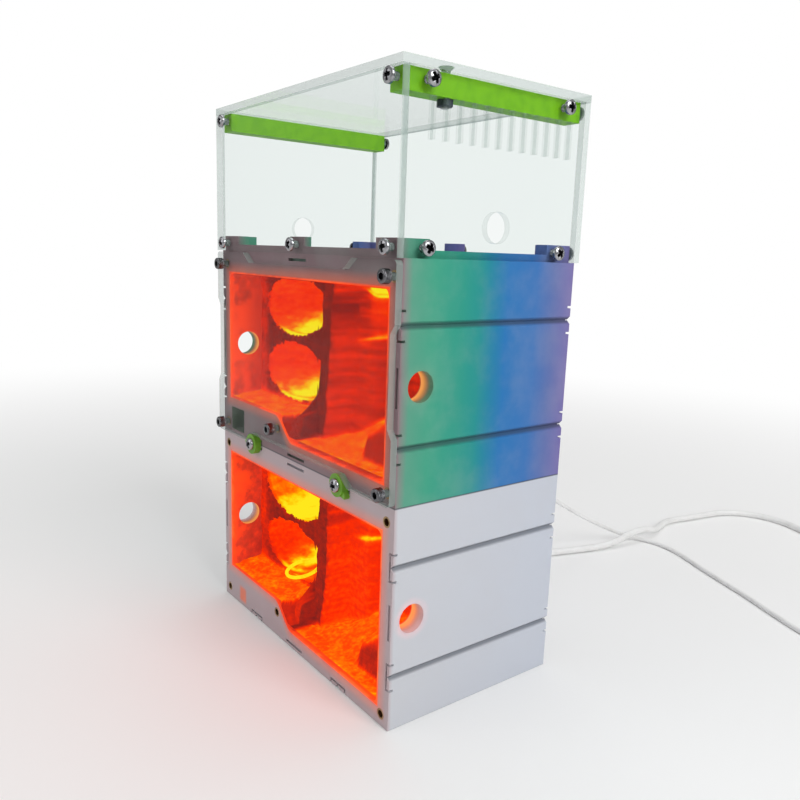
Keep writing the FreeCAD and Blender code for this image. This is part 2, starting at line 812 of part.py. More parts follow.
def clip(label, x, tip, front):
    """A round clip over the joint: disc with a pry tip, two lips that sit in the bracket slots."""
    b = body(label, "module_height")
    face = FRONT if front else BACK
    s = sketch(b, "XZ_Plane", face)
    ring(s, x, "0", "clip_radius")
    pad(b, s, "clip_thickness", back=not front)
    s = sketch(b, "XZ_Plane", face)
    along = lambda reach, aside: ("(%s) + (%s)*cos(%g) - (%s)*sin(%g)" % (x, reach, tip, aside, tip),
                                  "(%s)*sin(%g) + (%s)*cos(%g)" % (reach, tip, aside, tip))
    closed(s, [along("clip_tip_root", "-clip_tip_width/2"), along("clip_tip", "-clip_tip_flat/2"),
               along("clip_tip", "clip_tip_flat/2"), along("clip_tip_root", "clip_tip_width/2")])
    pad(b, s, "clip_tip_thickness", back=not front)
    s = sketch(b, "XZ_Plane", face)
    for sign in SIDES:
        ends = ["%s(slot_inset + lip_gap)" % sign, "%s(slot_inset + slot_width - lip_gap)" % sign]
        if sign == "-":
            ends.reverse()
        block(s, "(%s) - lip_length/2" % x, "(%s) + lip_length/2" % x, ends[0], ends[1])
    pad(b, s, "lip_depth", back=front)
    s = sketch(b, "XZ_Plane", face)
    ring(s, x, "0", "clip_shank + screw_clearance")
    cut(b, s, "clip_thickness", along=front)
    return b


def clip_screws():
    """The four screws of the clips; they bite in the channel between two facing grooves."""
    b = body("clip_screws", "module_height")
    for face, front in ((FRONT + " + clip_thickness", True), (BACK + " - clip_thickness", False)):
        s = sketch(b, "XZ_Plane", face)
        for sign in SIDES:
            ring(s, sign + "groove_side", "0", "pan_radius")
        last = pad(b, s, "pan_height", back=not front)
        top = "-(%s %s pan_height)" % (face, "+" if front else "-")
        rounded(b, last, "pan_round", circles_at(last, 1, top, "pan_radius"))
        s = sketch(b, "XZ_Plane", face)
        for sign in SIDES:
            ring(s, sign + "groove_side", "0", "clip_shank")
        pad(b, s, "clip_thickness + clip_bite", back=front)


# ---------------------------------------------------------------- foraging box

BAR_SCREW = "pane_height - bar_screw_drop"
PANE_TOP = [(sign + PANE_SCREW_SIDE, BAR_SCREW) for sign in SIDES]
PANE_LOW = [(x, "pane_screw_low") for x in ("-" + PANE_SCREW_SIDE, "0", PANE_SCREW_SIDE)]
SIDE_LOW = [(sign + "(module_depth/2 - side_screw_low)", "pane_screw_low") for sign in SIDES]
SIDE_TOP = [(sign + "(module_depth/2 - side_screw_high)", BAR_SCREW) for sign in SIDES]


def long_pane(label, face, back):
    """The front or back pane, which covers the ends of the side panes."""
    b = body(label, ARENA)
    s = sketch(b, "XZ_Plane", face)
    block(s, "-" + HALF, HALF, "0", "pane_height")
    for x, z in PANE_TOP + PANE_LOW:
        ring(s, x, z, HOLE)
    pad(b, s, "pane_thickness", back)


def side_pane(label, sign, vents):
    """A side pane with its tube hole; the right one has a row of vent slots under the bar."""
    b = body(label, ARENA)
    s = sketch(b, "YZ_Plane", "%s(%s - pane_thickness)" % (sign, HALF))
    block(s, BACK, FRONT, "0", "pane_height")
    ring(s, "0", "box_tube_level", "tube_bore")
    for y, z in SIDE_LOW + SIDE_TOP:
        ring(s, y, z, HOLE)
    pad(b, s, "pane_thickness", back=bool(sign))
    if not vents:
        return
    s = sketch(b, "YZ_Plane", HALF)
    block(s, "-vent_start - vent_width/2", "-vent_start + vent_width/2", "vent_bottom", "vent_top")
    slot = cut(b, s)
    row = b.newObject("PartDesign::LinearPattern", "Vents")
    row.Originals = [slot]
    row.Direction = (s, ["H_Axis"])
    row.setExpression("Length", bound("vent_pitch*(vent_count - 1)"))
    row.setExpression("Occurrences", bound("vent_count"))
    b.Tip = row
    doc.recompute()


def bar(label, sign, pivot):
    """The bar along the top of a side pane; the right one also carries the lid's pivot screw."""
    b = body(label, ARENA)
    s = sketch(b, "XZ_Plane", FRONT)
    ends = ["%s(%s - pane_thickness - bar_width)" % (sign, HALF), "%s(%s - pane_thickness)" % (sign, HALF)]
    if sign == "-":
        ends.reverse()
    block(s, ends[0], ends[1], "pane_height - bar_height", "pane_height")
    pad(b, s, "module_depth", back=True)
    for face, along in ((FRONT, False), (BACK, True)):
        s = sketch(b, "XZ_Plane", face)
        ring(s, sign + PANE_SCREW_SIDE, BAR_SCREW, HOLE)
        cut(b, s, "bite + bite_spare", along)
    s = sketch(b, "YZ_Plane", "%s(%s - pane_thickness)" % (sign, HALF))
    for y, z in SIDE_TOP:
        ring(s, y, z, HOLE)
    cut(b, s, "bite + bite_spare", along=bool(sign))
    if pivot:
        s = sketch(b, "XY_Plane", "pane_height")
        ring(s, PIVOT[0], PIVOT[1], HOLE)
        cut(b, s)


PIVOT = ("(%s - pane_thickness - bar_width/2)" % HALF, "(pivot_setback - module_depth/2)")


def lid():
    """The clear lid, which swings level about the countersunk pivot screw."""
    b = body("lid", ARENA)
    s = sketch(b, "XY_Plane", "pane_height")
    block(s, "-" + HALF, HALF, "-(module_depth/2 + pane_thickness)", "module_depth/2 + pane_thickness")
    hole = "screw_shank + pivot_clearance"
    ring(s, PIVOT[0], PIVOT[1], hole)
    last = pad(b, s, "lid_thickness")
    mouth = circles_at(last, 2, "pane_height + lid_thickness", hole)
    bevelled(b, last, "pivot_head + pivot_clearance - (%s)" % hole, mouth)


def lid_pivot():
    """The lid's countersunk screw and the nut under the bar."""
    b = body("lid_pivot_screw", ARENA)
    s = sketch(b, "XZ_Plane")
    top = "pane_height + lid_thickness"
    closed(s, [("0", top), ("pivot_head", top), ("screw_shank", top + " - pivot_head_height"),
               ("screw_shank", "pane_height - bar_height - nut_height - pivot_end"),
               ("0", "pane_height - bar_height - nut_height - pivot_end")])
    turned(b, s, "Z_Axis")
    b.setExpression("Placement.Base.x", bound(PIVOT[0]))
    b.setExpression("Placement.Base.y", bound(PIVOT[1]))
    b = body("lid_pivot_nut", ARENA)
    s = sketch(b, "XY_Plane", "pane_height - bar_height - nut_height")
    hexagon(s, PIVOT[0], PIVOT[1], "nut_across/cos(30)/2")
    ring(s, PIVOT[0], PIVOT[1], HOLE)
    pad(b, s, "nut_height")


# ---------------------------------------------------------------- leads

def route(points, radius, label):
    """Straight runs joined by tangent arcs; each arc is as large as its two runs allow."""
    edges = []
    start = points[0]
    radii = []
    for i in range(1, len(points) - 1):
        into = (points[i] - points[i - 1]).normalize()
        away = (points[i + 1] - points[i]).normalize()
        turn = into.getAngle(away)
        shorter = min((points[i] - points[i - 1]).Length, (points[i + 1] - points[i]).Length)
        arc = 0.45 * shorter / math.tan(turn / 2)
        radii.append(arc)
        first = points[i] - into * (0.45 * shorter)
        second = points[i] + away * (0.45 * shorter)
        inside = (away - into).normalize()
        middle = points[i] + inside * (arc / math.cos(turn / 2) - arc)
        edges.append(Part.LineSegment(start, first).toShape())
        edges.append(Part.Arc(first, middle, second).toShape())
        start = second
    edges.append(Part.LineSegment(start, points[-1]).toShape())
    path = Part.Wire(edges)
    section = Part.Wire([Part.Circle(points[0], points[1] - points[0], radius).toShape()])
    solid = path.makePipeShell([section], True, True)
    print("%s: length %.1f, smallest bend radius %.1f, volume / section x length %.4f"
          % (label, path.Length, min(radii), solid.Volume / (math.pi * radius ** 2 * path.Length)))
    return solid


def made(label, shape):
    """A sub-part whose shape is set directly."""
    feature = doc.addObject("Part::Feature", label)
    feature.Label = label
    feature.Shape = shape
    pieces.append(feature)
    return feature


def thin_route():
    """The middle module's lead: it drops in a long slant, lands, and goes under the other lead."""
    up = at("module_height + gland_level")
    down = at("thin_lead/2 + lead_clearance")
    start = at("module_depth/2 + gland_reach")
    return [V(0, start, up), V(0, start + 9, up - 0.8), V(-0.3, start + 19, up - 5),
            V(-0.8, start + 29, up - 13.5), V(-1.5, start + 41, up - 25.5),
            V(-2.2, start + 54, up - 38.5), V(-2.7, start + 70, up - 53),
            V(-3.1, 138, 40), V(-3.6, 152.4, 32.2), V(-4.1, 166, 24.6), V(-4.5, 180, 17.6),
            V(-5, 195, 10.4), V(-4.6, 206.5, 5.2), V(-1.8, 214.8, 1.9), V(5.5, 219, down),
            V(15.5, 221.8, down), V(28, 220.4, down), V(40, 216.2, down), V(54, 209.7, down),
            V(71, 203, down), V(90, 196, down), V(110, 187, down), V(129, 179, down), V(147, 175, down),
            V(163, 174.1, down)]


def thick_route():
    """The lower module's lead: down to the table, over the thin one, a lazy turn, and away."""
    up = at("gland_level")
    down = at("thick_lead/2 + lead_clearance")
    over = at("thin_lead + 2*lead_clearance + lead_crossing + thick_lead/2")
    start = at("module_depth/2 + gland_reach")
    return [V(0, start, up), V(-0.8, start + 9, up - 1), V(-3.4, start + 20, up - 4.2),
            V(-8, start + 33, down + 2), V(-13, start + 50, down),
            V(-15.6, start + 68, down), V(-14.6, start + 84, down),
            V(-10.3, 151, down), V(-5.2, 166, down), V(-0.6, 182, down), V(1.8, 196, down + 1.6),
            V(3.2, 209, over), V(3.8, 223, over), V(2.6, 236, down + 1.6), V(-1.6, 248, down),
            V(-5.6, 260, down), V(-4.6, 273, down), V(-0.9, 286, down), V(1.2, 301, down),
            V(5.6, 318, down), V(17, 332, down), V(35, 338.4, down), V(54, 334, down), V(73, 324.4, down),
            V(92, 313, down), V(109, 302.5, down)]


def hoop(mean, across, high):
    """A flat ring of rectangular section that stands on the level zero."""
    outer = Part.makeCylinder(mean + across / 2, high)
    return outer.cut(Part.makeCylinder(mean - across / 2, high))


def coil(label, x, y, tie_turn):
    """The closed outer shape of a coil of several lanes, as high as wide, and the tie round its
    side."""
    mean = at(label.replace("lead", "coil_radius"))
    across = at("coil_lanes*" + label)
    place = FreeCAD.Placement(V(x, y, at("lead_clearance")), FreeCAD.Rotation(V(0, 0, 1), tie_turn))
    made(label + "_coil", hoop(mean, across, across)).Placement = place
    gap = at("tie_gap")
    skin = at("tie_skin")
    width = at("tie_width")
    inner = mean - across / 2 - gap - skin
    band = Part.makeBox(across + 2 * (gap + skin), width, across + gap + skin, V(inner, -width / 2, 0))
    made(label + "_tie", band.cut(hoop(mean, across + 2 * gap, across + gap))).Placement = place


def plug(label, last, end):
    """A flat power plug at the end of a tail: moulded grip and metal tongue."""
    length = at("plug_length")
    grip = Part.makeBox(length, at("plug_width"), at("plug_height"), V(0, at("-plug_width/2"), 0))
    long_edges = [e for e in grip.Edges if abs(abs(e.tangentAt(0).x) - 1) < 1e-6]
    grip = grip.makeFillet(at("plug_round"), long_edges)
    corner = V(length, at("-tongue_width/2"), at("(plug_height - tongue_height)/2"))
    tongue = Part.makeBox(at("tongue_length"), at("tongue_width"), at("tongue_height"), corner)
    heading = math.degrees(math.atan2(end.y - last.y, end.x - last.x))
    place = FreeCAD.Placement(V(end.x, end.y, at("lead_clearance")), FreeCAD.Rotation(V(0, 0, 1), heading))
    made(label + "_plug_grip", grip).Placement = place
    made(label + "_plug_tongue", tongue).Placement = place


def leads():
    """Both leads: the run from the gland, the tied coil, the short tail and the plug."""
    plug_level = at("plug_height/2 + lead_clearance")
    down = at("thin_lead/2 + lead_clearance")
    made("thin_lead_run", route(thin_route(), at("thin_lead/2"), "thin lead"))
    coil("thin_lead", 165, 190, 135)
    tail = [V(180.9, 190, down), V(181.2, 203, down), V(181.8, 216, 2.4), V(182.4, 228, plug_level),
            V(183.4, 240, plug_level)]
    made("thin_lead_tail", route(tail, at("thin_lead/2"), "thin tail"))
    plug("thin_lead", tail[-2], tail[-1])

    down = at("thick_lead/2 + lead_clearance")
    made("thick_lead_run", route(thick_route(), at("thick_lead/2"), "thick lead"))
    coil("thick_lead", 124, 325.3, 100)
    tail = [V(149.6, 316, down), V(154.9, 331, down), V(159.6, 346, 2.8), V(164.6, 361, plug_level),
            V(170.8, 375, plug_level)]
    made("thick_lead_tail", route(tail, at("thick_lead/2"), "thick tail"))
    plug("thick_lead", tail[-2], tail[-1])


# ---------------------------------------------------------------- the tower

for prefix, level, upper, lead in (("lower", "0", False, "thick_lead"),
                                   ("middle", "module_height", True, "thin_lead")):
    nest_body(prefix + "_nest_body", level, carries_arena=upper, wick_pocket=upper)
    cave_insert(prefix + "_cave_insert", level)
    lamp_board(prefix, level)
    back_cover(prefix, level, lead)
    thread_inserts(prefix, level)
cover_plate("module_height")
cap_screws("module_height")
clip("clip_front_left", "-groove_side", 180, True)
clip("clip_front_right", "groove_side", -36, True)
clip("clip_back_left", "-groove_side", 180, False)
clip("clip_back_right", "groove_side", -36, False)
clip_screws()
long_pane("front_pane", FRONT, False)
long_pane("back_pane", BACK, True)
side_pane("left_pane", "-", False)
side_pane("right_pane", "", True)
bar("left_bar", "-", False)
bar("right_bar", "", True)
screws("front_pane_screws", ARENA, "XZ_Plane", [(FRONT + " + pane_thickness", False, PANE_TOP + PANE_LOW)])
screws("back_pane_screws", ARENA, "XZ_Plane", [(BACK + " - pane_thickness", True, PANE_TOP + PANE_LOW)])
screws("right_pane_screws", ARENA, "YZ_Plane", [(HALF, False, SIDE_TOP + SIDE_LOW)])
screws("left_pane_screws", ARENA, "YZ_Plane", [("-" + HALF, True, SIDE_TOP + SIDE_LOW)])
lid()
lid_pivot()
leads()
doc.recompute()

for thing in doc.Objects:
    if "Invalid" in thing.State or "Error" in thing.State:
        raise RuntimeError("%s failed: %s" % (thing.Label, thing.State))
for piece in pieces:
    if piece.Shape.isNull() or not piece.Shape.isValid():
        raise RuntimeError("%s has no valid shape" % piece.Label)
os.makedirs("parts", exist_ok=True)
for piece in pieces:
    piece.Shape.exportStep("parts/%s.step" % piece.Label)
    print("%-24s %d solid(s) %10.1f mm3" % (piece.Label, len(piece.Shape.Solids), piece.Shape.Volume))
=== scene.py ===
"""Looks of the ant nest tower: printed shells, carved glowing caves, clear sheet, screws and leads.

X runs along the windows, Y to the back and Z up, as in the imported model. The tower's sizes and
places are in millimetres, and MM turns them into the model's metres. Lamps and floor are in metres.
"""
import math
from functools import reduce
import bmesh
import bpy
import numpy as np
from mathutils import Matrix, Vector


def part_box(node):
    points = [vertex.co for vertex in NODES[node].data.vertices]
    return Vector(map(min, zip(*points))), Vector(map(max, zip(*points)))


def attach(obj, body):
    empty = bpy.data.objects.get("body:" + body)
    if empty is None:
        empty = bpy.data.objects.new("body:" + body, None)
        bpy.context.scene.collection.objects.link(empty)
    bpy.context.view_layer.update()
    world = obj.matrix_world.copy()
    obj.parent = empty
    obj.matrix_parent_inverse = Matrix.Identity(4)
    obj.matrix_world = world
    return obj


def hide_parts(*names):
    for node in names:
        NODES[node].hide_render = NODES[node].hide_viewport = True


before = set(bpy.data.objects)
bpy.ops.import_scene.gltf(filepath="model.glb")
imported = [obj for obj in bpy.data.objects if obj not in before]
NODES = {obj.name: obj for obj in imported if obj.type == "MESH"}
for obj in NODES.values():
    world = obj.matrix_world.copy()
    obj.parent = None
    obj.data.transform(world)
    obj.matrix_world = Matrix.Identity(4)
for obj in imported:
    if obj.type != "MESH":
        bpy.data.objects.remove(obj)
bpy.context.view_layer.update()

MM = 0.001

# The outer faces of the tower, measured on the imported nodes.
LOW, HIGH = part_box("lower_nest_body")
HALF_WIDTH = HIGH.x / MM
FRONT = LOW.y / MM
BACK = HIGH.y / MM
STOREY = HIGH.z / MM                  # height of one nest module
SHEET = 3.0                           # thickness of a clear sheet; the joint clips stand out as far
# The hollow behind each window; heights are above its module's own zero level.
HOLLOW_HALF = HALF_WIDTH - 8.0
HOLLOW_LOW = 8.0
HOLLOW_HIGH = STOREY - 11.0
SILL_RISE = 10.7                      # the raised sill on the left of the window
SILL_FOOT = -3.0
SILL_EDGE = -19.8
TUBE_PLACE = FRONT + 10.0
TUBE_LEVEL = 45.5
TUBE_RADIUS = 6.0
# The pair of grooves round the sides.
GROOVES_MIDDLE = STOREY / 2 - 0.65
GROOVE_RISE = 22.75
GROOVE_HALF = 2.0
GROOVE_DEPTH = 1.1
# In the sill: the thin web of the lower module and the water pocket of the middle one.
WEB_X = -54.5
WEB_LEVEL = 6.0
POCKET_X = -59.0
POCKET_LEVEL = 7.75
POCKET_HALF = (7.2, 5.9)              # half width and half height
# The carved rock.
CAVE_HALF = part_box("lower_cave_insert")[1].x / MM
CAVE_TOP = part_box("lower_cave_insert")[1].z / MM
ROCK = FRONT + 17.0                   # the face of the rock left of the column
CAVE_FLOOR = 9.9
SILL_FLOOR = 19.0
COLUMN_LEFT = -1.2
COLUMN_RIGHT = 7.2
BAY = 23.0                            # where the hall deepens into the bay
LEDGE = 57.0
RISER = 41.5
CHAMBER_X = -33.8                     # middles of the round chambers
CHAMBER_LEVELS = (67.3, 35.3)
CHAMBER_HALF = (29.2, 22.3, 15.5)     # half width, depth and height
CHAMBER_REACH = 33.5                  # half width to the right, where the edge cuts it off
CHAMBER_EDGE = -6.0
CHAMBER_SINK = 6.7                    # how far the middle lies behind the rock face
COLUMN_PROUD = 4.5                    # how far the column stands out of the rock face
HALL_DEPTH = 9.0                      # depths behind the rock face
BAY_DEPTH = 17.0
ALCOVE_DEPTH = 9.0                    # how much deeper the alcove over the ledge is
RING_PLACE = (-33.0, ROCK + 6.6, 23.0)     # the ring of light in the lower chamber
RING_RADIUS = 8.6
RING_TUBE = 0.9
# Points of the grid across the cave and along its floor, wall and ceiling.
CAVE_COLUMNS = 270
FLOOR_ROWS = 64
WALL_ROWS = 156
ROOF_ROWS = 9
# Screws, from the middle of the tower; those of the front plate above its module's zero level.
PAN_HEAD = (2.9, 2.1)                 # radius and height
SHANK = (1.5, 8.0)                    # radius and length
CLIP_SHANK = (1.1, 12.0)
THREAD_PITCH = 0.5
PANE_SCREW_TOP = 2 * STOREY + 60.6
PANE_SCREW_LOW = 2 * STOREY + 3.7
PANE_SCREW_END = 68.0
SIDE_SCREW_TOP = 35.0
SIDE_SCREW_LOW = 34.4
CLIP_PLACE = 38.5
PLATE_SCREW_END = 70.0
PLATE_SCREW_LEVELS = (5.0, 85.5)
SILL_SCREW = (-17.0, 12.0)
# Diameters of the leads.
THIN = 2.4
THICK = 4.2


# ---------------------------------------------------------------- camera, lights, stage

def camera():
    """The camera: azimuth and elevation of its back direction, then a small roll."""
    azimuth = math.radians(52.58)
    elevation = math.radians(11.06)
    roll = math.radians(2.0)
    place = Vector((287.5, -207.0, 185.84)) * MM
    back = Vector((math.sin(azimuth) * math.cos(elevation), -math.cos(azimuth) * math.cos(elevation),
                   math.sin(elevation)))
    right = (-back).cross(Vector((0, 0, 1))).normalized()
    up = back.cross(right)
    x_axis = math.cos(roll) * right + math.sin(roll) * up
    y_axis = -math.sin(roll) * right + math.cos(roll) * up
    turn = Matrix((x_axis, y_axis, back)).transposed().to_4x4()
    data = bpy.data.cameras.new("camera")
    data.sensor_width = 36.0
    data.lens = 33.915
    data.clip_start = 0.01
    shot = bpy.data.objects.new("camera", data)
    shot.matrix_world = Matrix.Translation(place) @ turn
    bpy.context.scene.collection.objects.link(shot)
    bpy.context.scene.camera = shot


def area_light(name, place, size, power):
    """A soft white square lamp, aimed at the middle of the tower."""
    data = bpy.data.lights.new(name, "AREA")
    data.shape = "SQUARE"
    data.size = size
    data.energy = power
    lamp = bpy.data.objects.new(name, data)
    lamp.location = place
    aim = Vector((0, 0, 0.12)) - Vector(place)
    lamp.rotation_euler = aim.to_track_quat("-Z", "Y").to_euler()
    bpy.context.scene.collection.objects.link(lamp)


def white_surround():
    """The world: soft grey light, and white where the camera looks at it, also through glass."""
    world = bpy.data.worlds.new("world")
    bpy.context.scene.world = world
    world.use_nodes = True
    tree = world.node_tree
    tree.nodes.clear()
    out = tree.nodes.new("ShaderNodeOutputWorld")
    dim = add(tree, "Background", in_Color=(1.0, 1.0, 1.0, 1.0), in_Strength=0.40)
    seen = add(tree, "Background", in_Color=(1.0, 1.0, 1.0, 1.0), in_Strength=1.0)
    sky = mixed(tree, looked_at(tree), dim.outputs[0], seen.outputs[0])
    tree.links.new(sky, out.inputs["Surface"])


def pale_floor():
    """A matt pale floor that keeps the shadow and melts into the white surround far away."""
    bpy.ops.mesh.primitive_plane_add(size=8.0, location=(0, 0, -0.0002))
    floor = bpy.context.object
    floor.name = "floor"
    mat, tree, bsdf = principled("floor_paint", (0.88, 0.88, 0.875), 0.8)
    place = parts_of_place(tree)
    far = spread(tree, distance(tree, place["X"], place["Y"]), 0.15, 0.95, 0.10, 1.0)
    white = add(tree, "Emission", in_Color=(1.0, 1.0, 1.0, 1.0), in_Strength=1.0)
    surface = mixed(tree, product(tree, far, looked_at(tree)), bsdf.outputs[0], white.outputs[0])
    tree.links.new(surface, tree.nodes["Material Output"].inputs["Surface"])
    floor.data.materials.append(mat)


def studio():
    """Plain soft light from the right, the front and above, on a pale floor."""
    area_light("key", (0.95, 0.05, 0.75), size=0.6, power=6.6)
    area_light("fill", (-0.5, -1.1, 0.6), size=0.8, power=2.6)
    area_light("top", (-0.1, 0.2, 1.3), size=0.9, power=4.6)
    white_surround()
    pale_floor()
    bpy.context.scene.view_settings.view_transform = "Standard"


# ---------------------------------------------------------------- material helpers

def principled(name, colour, roughness, **sockets):
    """A new material: its Principled shader's plain values, its tree and the shader."""
    mat = bpy.data.materials.new(name)
    mat.use_nodes = True
    tree = mat.node_tree
    bsdf = tree.nodes["Principled BSDF"]
    bsdf.inputs["Base Color"].default_value = (*colour, 1.0)
    bsdf.inputs["Roughness"].default_value = roughness
    for socket, value in sockets.items():
        bsdf.inputs[socket.replace("_", " ")].default_value = value
    return mat, tree, bsdf


def add(tree, kind, **values):
    """A new node with some properties set; a key that starts with in_ sets an input."""
    node = tree.nodes.new("ShaderNode" + kind)
    for key, value in values.items():
        if key.startswith("in_"):
            node.inputs[key[3:].replace("_", " ")].default_value = value
        else:
            setattr(node, key, value)
    return node


def place_of(tree):
    """The surface's place in the object's own coordinates, in metres."""
    return add(tree, "TexCoord").outputs["Object"]


def parts_of(tree, vector):
    """The three parts of a vector socket."""
    split = add(tree, "SeparateXYZ")
    tree.links.new(vector, split.inputs[0])
    return split.outputs


def parts_of_place(tree):
    """X, Y and Z of the surface's place."""
    return parts_of(tree, place_of(tree))


def looked_at(tree):
    """1 for rays from the camera and for those that glass lets through."""
    path = add(tree, "LightPath")
    return maths(tree, "MAXIMUM", path.outputs["Is Camera Ray"], path.outputs["Is Transmission Ray"])


def mixed(tree, factor, first, second):
    """Two shaders mixed by a factor socket."""
    mix = add(tree, "MixShader")
    for slot, socket in enumerate((factor, first, second)):
        tree.links.new(socket, mix.inputs[slot])
    return mix.outputs[0]


def maths(tree, operation, first, second=None):
    """One arithmetic node; its inputs are sockets or numbers."""
    node = add(tree, "Math", operation=operation)
    for slot, value in ((0, first), (1, second)):
        if value is None:
            continue
        if isinstance(value, (int, float)):
            node.inputs[slot].default_value = value
        else:
            tree.links.new(value, node.inputs[slot])
    return node.outputs[0]


def product(tree, *factors):
    """Sockets and numbers multiplied together."""
    return reduce(lambda total, factor: maths(tree, "MULTIPLY", total, factor), factors)


def largest(tree, *values):
    """The largest of several values."""
    return reduce(lambda top, value: maths(tree, "MAXIMUM", top, value), values)


def distance(tree, across, along):
    """The root of the sum of two squares."""
    return maths(tree, "SQRT", maths(tree, "ADD", product(tree, across, across), product(tree, along, along)))


def off(tree, length, middle):
    """How far a length in metres is from a place in millimetres, either way."""
    return maths(tree, "ABSOLUTE", maths(tree, "SUBTRACT", length, middle * MM))


def noise(tree, scale, detail, stretch=(1, 1, 1)):
    """Fractal noise over the object; stretch multiplies the coordinates."""
    mapping = add(tree, "Mapping", in_Scale=stretch)
    tree.links.new(place_of(tree), mapping.inputs["Vector"])
    node = add(tree, "TexNoise", in_Scale=scale, in_Detail=detail)
    tree.links.new(mapping.outputs[0], node.inputs["Vector"])
    return node.outputs["Fac"]


def ramp(tree, factor, stops):
    """A colour ramp through (place, colour) stops, the first at 0 and the last at 1."""
    node = add(tree, "ValToRGB")
    elements = node.color_ramp.elements
    for place, colour in stops[1:-1]:
        elements.new(place).color = (*colour, 1.0)
    elements[0].color = (*stops[0][1], 1.0)
    elements[len(stops) - 1].color = (*stops[-1][1], 1.0)
    tree.links.new(factor, node.inputs["Fac"])
    return node.outputs["Color"]


def spread(tree, value, low, high, to_low=0.0, to_high=1.0):
    """A clamped, smooth map of a range onto another."""
    node = add(tree, "MapRange", interpolation_type="SMOOTHSTEP")
    for slot, number in ((1, low), (2, high), (3, to_low), (4, to_high)):
        node.inputs[slot].default_value = number
    tree.links.new(value, node.inputs[0])
    return node.outputs[0]


def span(tree, length, low, high, to_low=0.0, to_high=1.0):
    """The same for a length in metres, over a range in millimetres."""
    return spread(tree, length, low * MM, high * MM, to_low, to_high)


def spread_linear(tree, value, low, high):
    """A clamped straight map of a range onto 0 to 1."""
    node = add(tree, "MapRange")
    node.inputs[1].default_value = low
    node.inputs[2].default_value = high
    tree.links.new(value, node.inputs[0])
    return node.outputs[0]


def patches(tree, scale, detail, low, high, most=1.0):
    """Soft patches: fractal noise above low, full at high."""
    return spread(tree, noise(tree, scale, detail), low, high, 0.0, most)


def waver(tree, amount, *pattern):
    """Fractal noise as a small change up or down."""
    return product(tree, maths(tree, "SUBTRACT", noise(tree, *pattern), 0.5), amount)


def bump(tree, bsdf, height, strength, reach):
    """Relief from a height signal, over a reach in metres."""
    node = add(tree, "Bump", in_Strength=strength, in_Distance=reach)
    tree.links.new(height, node.inputs["Height"])
    tree.links.new(node.outputs[0], bsdf.inputs["Normal"])


def blend(tree, base, factor, other):
    """A colour mixed towards another by a factor socket; each is a socket or three numbers."""
    mix = add(tree, "Mix", data_type="RGBA")
    tree.links.new(factor, mix.inputs["Factor"])
    for slot, colour in ((6, base), (7, other)):
        if isinstance(colour, tuple):
            mix.inputs[slot].default_value = (*colour, 1.0)
        else:
            tree.links.new(colour, mix.inputs[slot])
    return mix.outputs[2]


def tint(tree, bsdf, base, factor, other):
    """Such a blend as the shader's base colour."""
    tree.links.new(blend(tree, base, factor, other), bsdf.inputs["Base Color"])


def srgb(red, green, blue):
    """An 8-bit display colour as linear numbers."""
    return tuple(v / 12.92 if v <= 0.04045 else ((v + 0.055) / 1.055) ** 2.4
                 for v in (red / 255.0, green / 255.0, blue / 255.0))


# ---------------------------------------------------------------- materials

def layer_lines(tree, period):
    """The fine ridges of printed layers: a wave in Z with a little unevenness."""
    wave = maths(tree, "SINE", product(tree, parts_of_place(tree)["Z"], 2 * math.pi / period))
    uneven = noise(tree, 900.0, 2.0, (0.15, 0.15, 1.0))
    return maths(tree, "ADD", product(tree, wave, 0.35), uneven)


def window_edge(tree, x, z, base_level):
    """Distance outside the window's outline, in metres; negative in the hollow behind it."""
    local = maths(tree, "SUBTRACT", z, base_level * MM)
    low = span(tree, product(tree, x, -1.0), -SILL_FOOT, -SILL_EDGE,
               HOLLOW_LOW * MM, (HOLLOW_LOW + SILL_RISE) * MM)
    side = maths(tree, "SUBTRACT", maths(tree, "ABSOLUTE", x), HOLLOW_HALF * MM)
    above = maths(tree, "SUBTRACT", local, HOLLOW_HIGH * MM)
    below = maths(tree, "SUBTRACT", low, local)
    return largest(tree, side, above, below)


def tube_distance(tree, y, z, base_level):
    """Distance from the axis of the tube holes in the module's sides, in metres."""
    across = maths(tree, "SUBTRACT", y, TUBE_PLACE * MM)
    rise = maths(tree, "SUBTRACT", z, (base_level + TUBE_LEVEL) * MM)
    return distance(tree, across, rise)


def painted_groove_and_seam_shade(tree, x, y, z, base_level):
    """How much painted shade darkens the print in the grooves round its sides and along the joint of the
    modules.
    """
    rise = off(tree, z, base_level + GROOVES_MIDDLE)
    in_lane = span(tree, off(tree, rise, GROOVE_RISE), GROOVE_HALF - 0.1, GROOVE_HALF + 0.1, 1.0, 0.0)
    sunk = span(tree, maths(tree, "ABSOLUTE", x), HALF_WIDTH - GROOVE_DEPTH, HALF_WIDTH - 0.05, 0.62, 0.0)
    fore = span(tree, y, FRONT + 0.2, FRONT + 0.6)
    seam = span(tree, off(tree, z, STOREY), 0.1, 0.5, 0.75, 0.0)
    return largest(tree, product(tree, in_lane, sunk, fore), seam)


def thin_web(tree, x, y, z):
    """1 on the thin web of the lower sill, where the light shines through the print."""
    across = span(tree, off(tree, x, WEB_X), 2.2, 4.8, 1.0, 0.0)
    rise = span(tree, off(tree, z, WEB_LEVEL), 2.5, 5.2, 1.0, 0.0)
    return product(tree, across, rise, span(tree, y, FRONT, FRONT + 1, 1.0, 0.0))


def water_pocket(tree, x, y, z):
    """1 inside the water pocket in the sill of the middle module."""
    across = maths(tree, "SUBTRACT", off(tree, x, POCKET_X), POCKET_HALF[0] * MM)
    rise = maths(tree, "SUBTRACT", off(tree, z, STOREY + POCKET_LEVEL), POCKET_HALF[1] * MM)
    ahead = maths(tree, "SUBTRACT", (FRONT + 0.1) * MM, y)
    return span(tree, largest(tree, across, rise, ahead), -0.1, 0.1, 1.0, 0.0)


